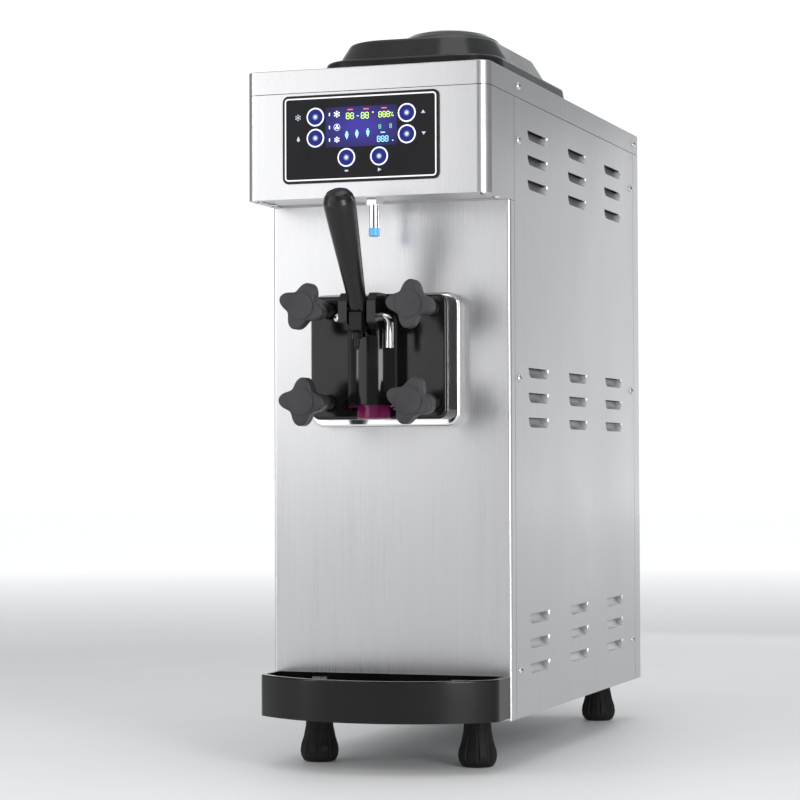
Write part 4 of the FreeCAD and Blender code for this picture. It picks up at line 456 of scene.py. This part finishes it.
for finish, members in MADE_OF:
    for name in members:
        nodes[name].data.materials.clear()
        nodes[name].data.materials.append(finish)
        dressed.add(name)
print("left undressed:", sorted(set(nodes) - dressed))

# %% [markdown]
# ## Casing screws
# Small pan head screws with a cross recess hold the casing together: the same head twenty-six times, at
# places that follow the panels. Geometry Nodes suit that: one head is made once, set on a point for
# each screw, turned to face out of its panel, and spun by a fixed random amount, because nobody lines
# screws up. The places are read from the ready-made screws, one loose solid each.

# %% Where the screws stand
def loose_solids(node, merge=0.00001):
    """The boxes of a node's separate solids, found on a merged copy of its mesh."""
    copy = bmesh.new()
    copy.from_mesh(nodes[node].data)
    bmesh.ops.remove_doubles(copy, verts=copy.verts, dist=merge)
    seen = set()
    boxes = []
    for first in copy.verts:
        if first in seen:
            continue
        group = [first]
        seen.add(first)
        for vert in group:
            for edge in vert.link_edges:
                other = edge.other_vert(vert)
                if other not in seen:
                    seen.add(other)
                    group.append(other)
        low = Vector([min(v.co[k] for v in group) for k in range(3)])
        high = Vector([max(v.co[k] for v in group) for k in range(3)])
        boxes.append((low, high))
    copy.free()
    return boxes


HEAD_HEIGHT = 2.0
screw_spots = []
for low, high in loose_solids("casing_screws"):
    size = high - low
    axis = max(range(3), key=lambda k: size[k])
    centre = (low + high) / 2
    body_middle = (cad_box[0] + cad_box[1]) / 2
    outward = 1.0 if centre[axis] > body_middle[axis] else -1.0
    if axis == 2:
        outward = -1.0
    facing = Vector((0, 0, 0))
    facing[axis] = outward
    seat = centre.copy()
    seat[axis] = (high[axis] - HEAD_HEIGHT * MM) if outward > 0 else (low[axis] + HEAD_HEIGHT * MM)
    screw_spots.append((seat, facing))
print(len(screw_spots), "screws found")

# %% [markdown]
# ## A small kit for node trees
# A geometry tree is built in the script with named inputs.

# %% Geometry tree kit
class Shaper:
    """A Geometry Nodes tree with named inputs."""

    def __init__(self, name, **sizes):
        self.tree = bpy.data.node_groups.new(name, "GeometryNodeTree")
        self.tree.interface.new_socket("Geometry", in_out="INPUT", socket_type="NodeSocketGeometry")
        self.tree.interface.new_socket("Geometry", in_out="OUTPUT", socket_type="NodeSocketGeometry")
        self.sizes = sizes
        for key in sizes:
            self.tree.interface.new_socket(key, in_out="INPUT", socket_type="NodeSocketFloat")
        self.entry = self.tree.nodes.new("NodeGroupInput")
        self.exit = self.tree.nodes.new("NodeGroupOutput")

    def size(self, key):
        return self.entry.outputs[key]

    def node(self, kind, settings=None, sockets=None, out=0):
        made = self.tree.nodes.new(kind)
        for key, value in (settings or {}).items():
            setattr(made, key, value)
        for key, value in (sockets or {}).items():
            if isinstance(value, bpy.types.NodeSocket):
                self.tree.links.new(value, made.inputs[key])
            else:
                made.inputs[key].default_value = value
        return made.outputs[out]

    def sum(self, operation, first, second):
        return self.node("ShaderNodeMath", {"operation": operation}, {0: first, 1: second})

    def finish(self, geometry, material):
        whole = self.node("GeometryNodeRealizeInstances", None, {0: geometry})
        painted = self.node("GeometryNodeSetMaterial", None, {"Geometry": whole, "Material": material})
        self.tree.links.new(painted, self.exit.inputs[0])

    def apply(self, name, start_mesh):
        """Run the tree on a mesh and give back a plain mesh."""
        carrier = bpy.data.objects.new(name + "_carrier", start_mesh)
        bpy.context.scene.collection.objects.link(carrier)
        modifier = carrier.modifiers.new("shape", "NODES")
        modifier.node_group = self.tree
        for item in self.tree.interface.items_tree:
            if item.in_out == "INPUT" and item.name in self.sizes:
                modifier[item.identifier] = self.sizes[item.name]
        seen = carrier.evaluated_get(bpy.context.evaluated_depsgraph_get())
        mesh = bpy.data.meshes.new_from_object(seen)
        carrier.modifiers.clear()
        bpy.data.objects.remove(carrier)
        mesh.name = name
        return mesh


def spots_mesh(name, spots):
    """One point a spot, with the direction it faces kept as an attribute."""
    mesh = bpy.data.meshes.new(name)
    mesh.from_pydata([tuple(place) for place, facing in spots], [], [])
    layer = mesh.attributes.new("facing", "FLOAT_VECTOR", "POINT")
    layer.data.foreach_set("vector", [v for place, facing in spots for v in facing])
    return mesh


print("kit ready")

# %% [markdown]
# ## One head, many screws
# A pan head is a flattened half ball with a cross pressed into it. So a ball is squashed, a large block
# takes away its lower half, and two crossed bars cut the recess. The same head then goes to every spot.

# %% Screw heads
CUTTER_WIDE = 20.0
CUTTER_DEEP = 10.0
RECESS_REACH = 1.1
FULL_TURN = 6.2832
SCREW_SEED = 7
screws = Shaper("pan_head_screws", head_radius=4.0 * MM, head_height=HEAD_HEIGHT * MM,
                recess_width=0.9 * MM, recess_depth=1.1 * MM)
dome = screws.node("GeometryNodeMeshUVSphere", None, {
    "Segments": 28, "Rings": 14, "Radius": screws.size("head_radius")})
squash_z = screws.sum("DIVIDE", screws.size("head_height"), screws.size("head_radius"))
squash = screws.node("ShaderNodeCombineXYZ", None, {0: 1.0, 1: 1.0, 2: squash_z})
dome = screws.node("GeometryNodeTransform", None, {"Geometry": dome, "Scale": squash})
slot_long = screws.sum("MULTIPLY", screws.size("head_radius"), RECESS_REACH)
slot_tall = screws.sum("MULTIPLY", screws.size("recess_depth"), 2.0)
below = screws.node("GeometryNodeMeshCube", None, {
    "Size": screws.node("ShaderNodeCombineXYZ", None, {
        0: CUTTER_WIDE * MM, 1: CUTTER_WIDE * MM, 2: CUTTER_DEEP * MM})})
below = screws.node("GeometryNodeTransform", None, {
    "Geometry": below, "Translation": (0, 0, -CUTTER_DEEP / 2 * MM)})
lift = screws.node("ShaderNodeCombineXYZ", None, {2: screws.size("head_height")})
bars = []
for across in (0, 1):
    sides = {0: slot_long if across else screws.size("recess_width"),
             1: screws.size("recess_width") if across else slot_long, 2: slot_tall}
    bar = screws.node("GeometryNodeMeshCube", None, {
        "Size": screws.node("ShaderNodeCombineXYZ", None, sides)})
    bars.append(screws.node("GeometryNodeTransform", None, {"Geometry": bar, "Translation": lift}))
head = dome
for tool in (below, bars[0], bars[1]):
    cut = screws.tree.nodes.new("GeometryNodeMeshBoolean")
    cut.operation = "DIFFERENCE"
    screws.tree.links.new(head, cut.inputs[0])
    screws.tree.links.new(tool, cut.inputs[1])
    head = cut.outputs[0]
facing = screws.node("GeometryNodeInputNamedAttribute", {"data_type": "FLOAT_VECTOR"}, {"Name": "facing"})
turn = screws.node("FunctionNodeAlignRotationToVector", {"axis": "Z"}, {"Vector": facing})
set_out = screws.node("GeometryNodeInstanceOnPoints", None, {
    "Points": screws.size("Geometry"), "Instance": head, "Rotation": turn})
chance = screws.node("FunctionNodeRandomValue", {"data_type": "FLOAT"}, {
    2: 0.0, 3: FULL_TURN, "Seed": SCREW_SEED}, 1)
spin = screws.node("ShaderNodeCombineXYZ", None, {2: chance})
set_out = screws.node("GeometryNodeRotateInstances", None, {"Instances": set_out, "Rotation": spin})
screws.finish(set_out, bright_steel)
screw_mesh = screws.apply("casing_screw_heads", spots_mesh("screw_spots", screw_spots))
screw_piece = add_piece("casing_screw_heads", screw_mesh, "cabinet", bright_steel)
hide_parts("casing_screws")
print("screw heads:", len(screw_mesh.polygons), "faces")

# %% [markdown]
# ## The adjusting screw's thread
# Under the handle hangs a stop screw, and its thread shows between the lock nut and the tip. A thread is
# one helix with a small triangular section, so a spiral curve carries the section along.

# %% Thread on the adjusting screw
screw_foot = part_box("adjusting_screw")[0].z
screw_axis = middle_of("adjusting_screw")
THREAD_PITCH = 0.8
THREAD_LOW = 4.6
THREAD_HIGH = 9.6
thread = Shaper("stop_screw_thread", pitch=THREAD_PITCH * MM, core=2.42 * MM, ridge=0.34 * MM,
                length=(THREAD_HIGH - THREAD_LOW) * MM)
turns = thread.sum("DIVIDE", thread.size("length"), thread.size("pitch"))
helix = thread.node("GeometryNodeCurveSpiral", None, {
    "Resolution": 22, "Rotations": turns, "Start Radius": thread.size("core"),
    "End Radius": thread.size("core"), "Height": thread.size("length")})
section = thread.node("GeometryNodeCurvePrimitiveCircle", {"mode": "RADIUS"}, {
    "Resolution": 3, "Radius": thread.size("ridge")})
wound = thread.node("GeometryNodeCurveToMesh", None, {
    "Curve": helix, "Profile Curve": section, "Fill Caps": True})
foot_of_thread = (screw_axis.x, screw_axis.y, screw_foot + THREAD_LOW * MM)
wound = thread.node("GeometryNodeTransform", None, {"Geometry": wound, "Translation": foot_of_thread})
thread.finish(wound, black_paint)
thread_spot = spots_mesh("thread_spot", [(screw_axis, Vector((0, 0, 1)))])
thread_mesh = thread.apply("adjusting_screw_thread", thread_spot)
add_piece("adjusting_screw_thread", thread_mesh, "handle", black_paint)
print("thread:", len(thread_mesh.polygons), "faces")

# %% [markdown]
# ## The silver line round the fascia
# A thin bright line runs just inside the bezel's edge. It follows one rounded rectangle, so it is a
# ring between two of them, a hair proud of the moulding.

# %% Silver line
BEZEL_CORNER = 6.0
LINE_INSET = 2.5
LINE_WIDTH = 1.3
LINE_PROUD = 0.12
LINE_SUNK = 0.3


def rounded_loop(low_x, high_x, low_z, high_z, corner, steps=8):
    """A rounded rectangle as X, Z places, going round once."""
    loop = []
    corners = ((high_x - corner, high_z - corner, 0), (low_x + corner, high_z - corner, 90),
               (low_x + corner, low_z + corner, 180), (high_x - corner, low_z + corner, 270))
    for x, z, start in corners:
        for k in range(steps + 1):
            angle = math.radians(start + 90 * k / steps)
            loop.append((x + corner * math.cos(angle), z + corner * math.sin(angle)))
    return loop


def ring_mesh(name, outer, inner, front_y, back_y):
    """A flat ring with thickness, between two loops that have as many places."""
    shape = bmesh.new()
    rows = []
    for loop, y in ((outer, front_y), (inner, front_y), (inner, back_y), (outer, back_y)):
        rows.append([shape.verts.new((x, y, z)) for x, z in loop])
    count = len(outer)
    for a in range(4):
        for k in range(count):
            j = (k + 1) % count
            shape.faces.new((rows[a][k], rows[a][j], rows[(a + 1) % 4][j], rows[(a + 1) % 4][k]))
    return mesh_of(name, shape)


def inset_loop(inset, corner):
    step = inset * MM
    return rounded_loop(bezel_low.x + step, bezel_high.x - step, bezel_low.z + step,
                        bezel_high.z - step, corner * MM)


line_front = bezel_low.y - LINE_PROUD * MM
line_back = bezel_low.y + LINE_SUNK * MM
outer = inset_loop(LINE_INSET, BEZEL_CORNER - LINE_INSET)
inner = inset_loop(LINE_INSET + LINE_WIDTH, BEZEL_CORNER - LINE_INSET - LINE_WIDTH)
silver_mesh = ring_mesh("fascia_silver_line", outer, inner, line_front, line_back)
add_piece("fascia_silver_line", silver_mesh, "cabinet", bright_steel)
print("silver line:", len(silver_mesh.polygons), "faces")

# %% [markdown]
# ## The sealed seam under the head
# Where the head's floor meets the front panel, the sheets leave a narrow gap for their tolerances. On
# food equipment such a gap is filled with a smooth bead that wipes clean. The bead is one long prism
# with a hollow front, pressed between the floor's rear edge and the top of the panel.

# %% Bead under the head
panel_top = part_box("front_panel")[1].z
plate_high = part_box("head_bottom_plate")[1]
BEAD_GAP = 0.05
BEAD_REACH = 1.1
BEAD_HOLLOW = 0.25
BEAD_STEPS = 6
bead_front = plate_high.y + BEAD_GAP * MM
bead_back = cabinet_origin.y + BEAD_REACH * MM
bead_foot = panel_top + BEAD_GAP * MM
bead_top = plate_high.z - BEAD_GAP * MM
bead_end = plate_high.x - BEAD_GAP * MM


def bead_mesh(name):
    """A long prism whose front is drawn in slightly, as a finger leaves it."""
    tall = bead_top - bead_foot
    section = []
    for k in range(BEAD_STEPS + 1):
        hollow = BEAD_HOLLOW * MM * math.sin(math.pi * k / BEAD_STEPS)
        section.append((bead_front + hollow, bead_foot + tall * k / BEAD_STEPS))
    section += [(bead_back, bead_top), (bead_back, bead_foot)]
    shape = bmesh.new()
    left = [shape.verts.new((-bead_end, y, z)) for y, z in section]
    right_end = [shape.verts.new((bead_end, y, z)) for y, z in section]
    shape.faces.new(left)
    shape.faces.new(list(reversed(right_end)))
    for k in range(len(section)):
        j = (k + 1) % len(section)
        shape.faces.new((left[k], left[j], right_end[j], right_end[k]))
    return mesh_of(name, shape)


sealant = moulded("seam_sealant", "white_plastic", 0.45, 0.00002, 900, 0.06, share=0.55)
add_piece("head_seam_bead", bead_mesh("head_seam_bead"), "cabinet", sealant)
print("bead fills", round((bead_top - bead_foot) / MM, 2), "mm")

# %% [markdown]
# ## The display window and its lit marks
# The window holds bar pictures, seven-segment numbers and small cones. Each mark is flat, so each is a
# thin prism on the glass, with a finish that shines in its own colour. Numbers are drawn from the seven
# bars of a common digit, and every icon is a plain generic sign.

# %% Window
PANEL_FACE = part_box("fascia_panel")[0].y
WINDOW_LEFT, WINDOW_RIGHT, WINDOW_FOOT, WINDOW_TOP = -38.8, 32.0, 538.0, 575.5
WINDOW_CORNER = 1.0
WINDOW_PROUD = 0.1
WINDOW_SUNK = 0.3
window_low = on_cabinet(WINDOW_LEFT, 0, WINDOW_FOOT)
window_high = on_cabinet(WINDOW_RIGHT, 0, WINDOW_TOP)
window_loop = rounded_loop(window_low.x, window_high.x, window_low.z, window_high.z, WINDOW_CORNER * MM, 4)
window_mesh = front_prisms("display_window", [window_loop], PANEL_FACE - WINDOW_PROUD * MM,
                           PANEL_FACE + WINDOW_SUNK * MM)
add_piece("display_window", window_mesh, "cabinet", window_glow(window_low, window_high))
print("window at", [round(v, 4) for v in window_low])

# %% [markdown]
# ## A small drawing kit
# Bars with pointed ends and discs are enough for every mark. Digits, flakes, fans and cones are built
# from them, in millimetres on the cabinet, so that a sign can be set down anywhere at any size.

# %% Shapes for the marks
MARK_PROUD = 0.2
MARK_CLEAR = 0.02
MARK_FRONT = PANEL_FACE - MARK_PROUD * MM
MARK_BACK = PANEL_FACE - MARK_CLEAR * MM
SEGMENTS = {"0": "abcdef", "1": "bc", "2": "abdeg", "3": "abcdg", "4": "bcfg", "5": "acdfg",
            "6": "acdefg", "7": "abc", "8": "abcdefg", "9": "abcdfg", "-": "g"}


def bar(x0, z0, x1, z1, width):
    """A straight bar with pointed ends, between two places in cabinet millimetres."""
    along = Vector((x1 - x0, z1 - z0))
    length = along.length
    along.normalize()
    side = Vector((-along.y, along.x)) * width / 2
    tip = along * min(width / 2, length / 3)
    start = Vector((x0, z0))
    end = Vector((x1, z1))
    return [start, start + tip - side, end - tip - side, end, end - tip + side, start + tip + side]


def disc(x, z, radius, count=16):
    steps = [math.tau * k / count for k in range(count)]
    return [Vector((x + radius * math.cos(a), z + radius * math.sin(a))) for a in steps]


def digit(character, x, z, height):
    """One seven-segment character centred on x, z."""
    h = height / 2
    w = height * 0.27
    thick = height * 0.13
    gap = thick * 0.25
    ends = {"a": (-w, h, w, h), "g": (-w, 0, w, 0), "d": (-w, -h, w, -h), "b": (w, 0, w, h),
            "c": (w, -h, w, 0), "f": (-w, 0, -w, h), "e": (-w, -h, -w, 0)}
    shapes = []
    for letter in SEGMENTS[character]:
        x0, z0, x1, z1 = ends[letter]
        dx = gap if x0 != x1 else 0
        dz = gap if z0 != z1 else 0
        shapes.append(bar(x + x0 + dx, z + z0 + dz, x + x1 - dx, z + z1 - dz, thick))
    return shapes


def number(text, x, z, height):
    """A row of digits centred on x, z."""
    pitch = height * 0.78
    start = x - pitch * (len(text) - 1) / 2
    return [shape for k, c in enumerate(text) for shape in digit(c, start + pitch * k, z, height)]


def snowflake(x, z, radius):
    shapes = []
    for k in range(6):
        a = math.radians(60 * k + 30)
        tip = (x + radius * math.cos(a), z + radius * math.sin(a))
        shapes.append(bar(x, z, *tip, radius * 0.16))
        fork = (x + radius * 0.6 * math.cos(a), z + radius * 0.6 * math.sin(a))
        for bend in (-50, 50):
            b = a + math.radians(bend)
            end = (fork[0] + radius * 0.34 * math.cos(b), fork[1] + radius * 0.34 * math.sin(b))
            shapes.append(bar(*fork, *end, radius * 0.13))
    return shapes


def fan_sign(x, z, radius):
    shapes = []
    for k in range(3):
        a = math.radians(120 * k + 90)
        out = radius * 0.42
        shapes.append(disc(x + out * math.cos(a), z + out * math.sin(a), radius * 0.3, 12))
    for k in range(24):
        a, b = math.radians(15 * k), math.radians(15 * k + 15.5)
        shapes.append(bar(x + radius * math.cos(a), z + radius * math.sin(a),
                          x + radius * math.cos(b), z + radius * math.sin(b), radius * 0.14))
    return shapes


def cone_sign(x, z, height):
    """An ice cream cone: a pointed wafer under a swirl of three tiers."""
    h = height / 2
    rim = z - h * 0.05
    shapes = [[Vector((x, z - h)), Vector((x + h * 0.38, rim)), Vector((x - h * 0.38, rim))]]
    for k, width in enumerate((0.46, 0.33, 0.19)):
        base = z + h * (0.04 + 0.3 * k)
        shapes.append(bar(x - h * width, base + h * 0.12, x + h * width, base + h * 0.12, h * 0.24))
    return shapes


print("mark shapes ready")

# %% [markdown]
# ## Lighting the marks
# A lit mark is a colour that shines a little, with a fine grain like a printed filter. Marks of one
# colour make one piece, because they share one finish and never move apart.

# %% Colours of light
def light_ink(name, colour, strength):
    ink = Finish(name, Roughness=0.4, Emission_Strength=strength)
    grain = ink.noise((900, 900, 900), 2.0)
    lit = ink.blend(ink.stretch(grain, 0.3, 0.7), dimmer(colour, 0.85), dimmer(colour, 1.0))
    return ink.feed(Base_Color=lit, Emission_Color=lit)


def marks(name, shapes, ink):
    places = [[(p.x, p.z) for p in (on_cabinet(v.x, 0, v.y) for v in shape)] for shape in shapes]
    mesh = front_prisms(name, places, MARK_FRONT, MARK_BACK)
    return add_piece(name, mesh, "cabinet", ink)


lime = light_ink("lime_light", (0.55, 0.9, 0.12, 1), 1.1)
white = light_ink("white_light", (0.75, 0.85, 1.0, 1), 0.9)
cyan = light_ink("cyan_light", (0.28, 0.75, 1.0, 1), 1.1)
red = light_ink("red_light", (0.9, 0.12, 0.08, 1), 1.0)
green = light_ink("green_light", (0.15, 0.75, 0.35, 1), 0.8)
print("five inks")

# %% Marks on the display
marks("display_lime_numbers",
      number("88", -14.5, 566.8, 5.4) + digit("-", -6.8, 566.5, 5.0) + number("88", 0.3, 566.6, 5.4)
      + [disc(8.2, 569.2, 0.7)] + number("888", 19.3, 566.8, 5.0)
      + [disc(25.8, 568.0, 0.6), disc(28.0, 565.2, 0.6), [Vector(p) for p in (
          (25.6, 564.6), (26.1, 564.6), (28.3, 568.6), (27.8, 568.6))]], lime)
marks("display_red_ticks",
      [bar(x - 2.8, 572.7, x + 2.8, 572.7, 1.0) for x in (-14.2, 1.5, 19.3)], red)
marks("display_green_numbers", number("8", 15.0, 555.5, 3.6) + number("8", 25.7, 555.8, 3.6), green)
marks("display_white_signs",
      [bar(-34.9, z - 1.7, -34.9, z + 1.7, 1.0) for z in (569.0, 556.8, 545.0)]
      + snowflake(-27.5, 569.0, 3.4) + fan_sign(-27.5, 556.7, 3.0) + snowflake(-27.5, 545.0, 3.0), white)
marks("display_cyan_signs",
      cone_sign(-17.7, 549.0, 8.4) + cone_sign(-7.7, 549.8, 8.4) + cone_sign(3.2, 550.5, 8.4)
      + [bar(15.6, 550.0, 20.4, 550.0, 0.9)] + number("888", 17.8, 544.0, 5.0)
      + [disc(27.7, 542.1, 0.6)], cyan)
print("display marks made")

# %% [markdown]
# ## Signs beside the buttons
# Each button has a sign that says what it does. Plain shapes serve in any language: a snowflake, arrows for
# up and down, a drop for washing, a bar for stop and a triangle for start.

# %% Button signs
def triangle(x, z, size, up=True):
    s = size if up else -size
    foot = z - s * 0.5
    return [Vector((x - size * 0.8, foot)), Vector((x + size * 0.8, foot)), Vector((x, z + s * 0.7))]


def water_drop(x, z, size):
    """A point on top and the larger part of a circle below it."""
    loop = [Vector((x, z + size))]
    round_part = size * 0.55
    for k in range(11):
        a = math.radians(40 - 26 * k)
        loop.append(Vector((x + round_part * math.cos(a), z - size * 0.25 + round_part * math.sin(a))))
    return [loop]


# The signs are print whose ink also shines faintly: a painted glow that makes them read lighter on the dark
# glass.
label_ink_painted_glow = light_ink("label_print_painted_glow", (0.5, 0.56, 0.68, 1), 0.25)
signs = snowflake(-66.4, 567.4, 3.2)
signs += water_drop(-66.1, 547.0, 2.8)
signs += [bar(-20.1, 515.6, -16.1, 515.6, 1.6)]
signs += [[Vector((13.0, 513.6)), Vector((16.6, 515.4)), Vector((13.0, 517.2))]]
signs += [triangle(57.5, 567.4, 2.6), triangle(58.0, 547.6, 2.6, False)]
marks("button_signs", signs, label_ink_painted_glow)
print(len(signs), "sign shapes")

# %% [markdown]
# ## The floor
# The machine stands on a plain pale floor, which takes its shadow. Farther out the floor starts to shine
# by itself and fades into the white of the room, so no hard horizon shows from the front.

# %% Floor
FLOOR_HALF = 12.0
FLOOR_SHINE = 0.5
FADE_FROM, FADE_TO = 1.4, 4.5
floor_shape = bmesh.new()
bmesh.ops.create_grid(floor_shape, x_segments=2, y_segments=2, size=FLOOR_HALF)
floor_mesh = mesh_of("floor", floor_shape, outward=False)
floor = bpy.data.objects.new("floor", floor_mesh)
bpy.context.scene.collection.objects.link(floor)
floor_finish = Finish("pale_floor", Roughness=0.6)
speckle = floor_finish.noise((8, 8, 8), 3.0)
distance = floor_finish.node("ShaderNodeVectorMath", {"operation": "LENGTH"}, {0: floor_finish.place()}, 1)
fade = floor_finish.stretch(distance, FADE_FROM, FADE_TO)
floor_finish.surface.inputs["Emission Strength"].default_value = FLOOR_SHINE
floor_mesh.materials.append(floor_finish.feed(
    Base_Color=floor_finish.blend(speckle, (0.8, 0.8, 0.8, 1), (0.84, 0.84, 0.84, 1)),
    Emission_Color=floor_finish.blend(fade, (0, 0, 0, 1), (1, 1, 1, 1))))
print("floor laid")

# %% [markdown]
# ## Lamps and room
# Steel shows the room more than itself, so the room is five large soft lamps: a wide one in front, a
# narrow one at the left, a tall one at the right, a faint one behind and one above. The room's own
# brightness grows overhead and toward the back, which a world that depends on direction gives.

# %% Lamps and room
def soft_lamp(name, place, target, wide, tall, power):
    """A rectangle of light, wide by tall metres, facing its target."""
    lamp = bpy.data.lights.new(name, "AREA")
    lamp.shape = "RECTANGLE"
    lamp.size = wide
    lamp.size_y = tall
    lamp.energy = power
    holder = bpy.data.objects.new(name, lamp)
    bpy.context.scene.collection.objects.link(holder)
    holder.location = place
    holder.rotation_euler = (Vector(target) - Vector(place)).to_track_quat("-Z", "Y").to_euler()


soft_lamp("front_lamp", (-0.8, -1.3, 0.76), (0.0, -0.2, 0.5), 1.2, 0.95, 4.7)
soft_lamp("left_strip", (-1.75, -1.25, 0.7), (0, -0.2, 0.4), 0.35, 1.3, 6)
soft_lamp("right_lamp", (1.42, -1.5, 0.7), (0, -0.2, 0.4), 0.66, 1.3, 23)
soft_lamp("rear_lamp", (0.2, 1.75, 0.52), (0.12, 0.0, 0.35), 1.1, 0.66, 1.2)
soft_lamp("top_lamp", (0.2, -0.4, 3.0), (0, 0, 0), 1.6, 1.6, 12)

HORIZON, OVERHEAD, BEHIND = 0.26, 0.45, 0.85
TOWARD_BACK = (-0.32, 0.945, 0.0)
room = bpy.data.worlds.new("room")
room.use_nodes = True
sky = Network(room.node_tree)
direction = sky.node("ShaderNodeTexCoord", out="Generated")
height = sky.node("ShaderNodeSeparateXYZ", None, {0: direction}, 2)
toward_back = sky.node("ShaderNodeVectorMath", {"operation": "DOT_PRODUCT"},
                       {0: direction, 1: TOWARD_BACK}, 1)
brightness = HORIZON + sky.stretch(height, 0.3, 0.9) * OVERHEAD + sky.stretch(toward_back, 0.8, 0.96) * BEHIND
background = room.node_tree.nodes["Background"]
background.inputs["Color"].default_value = (0.96, 0.98, 1.0, 1)
room.node_tree.links.new(brightness.socket, background.inputs["Strength"])
bpy.context.scene.world = room
bpy.context.scene.view_settings.view_transform = "Standard"
print("five lamps and a pale room")

# %% [markdown]
# ## The view
# The camera stands to the machine's right, a little below its middle, and looks through a long lens, so
# the upright edges stay nearly parallel. It is turned first, then tilted up, then rolled a hair.

# %% Camera
YAW, PITCH, ROLL = math.radians(18.785), math.radians(1.486), math.radians(-0.207)
STAND = (789.4, -2292.5, 239.9)
FOCAL_LENGTH = 114.17
SENSOR_WIDTH = 36.0
FAR_LIMIT = 60.0
ahead = Vector((-math.sin(YAW) * math.cos(PITCH), math.cos(YAW) * math.cos(PITCH), math.sin(PITCH)))
level_right = Vector((math.cos(YAW), math.sin(YAW), 0))
level_up = level_right.cross(ahead)
right = level_right * math.cos(ROLL) + level_up * math.sin(ROLL)
up = level_up * math.cos(ROLL) - level_right * math.sin(ROLL)
lens = bpy.data.cameras.new("view")
lens.lens = FOCAL_LENGTH
lens.sensor_width = SENSOR_WIDTH
lens.clip_end = FAR_LIMIT
camera = bpy.data.objects.new("view", lens)
bpy.context.scene.collection.objects.link(camera)
stand = on_cabinet(*STAND)
camera.matrix_world = Matrix((
    (right.x, up.x, -ahead.x, stand.x),
    (right.y, up.y, -ahead.y, stand.y),
    (right.z, up.z, -ahead.z, stand.z),
    (0, 0, 0, 1)))
bpy.context.scene.camera = camera
print("camera stands at", [round(v, 3) for v in stand])
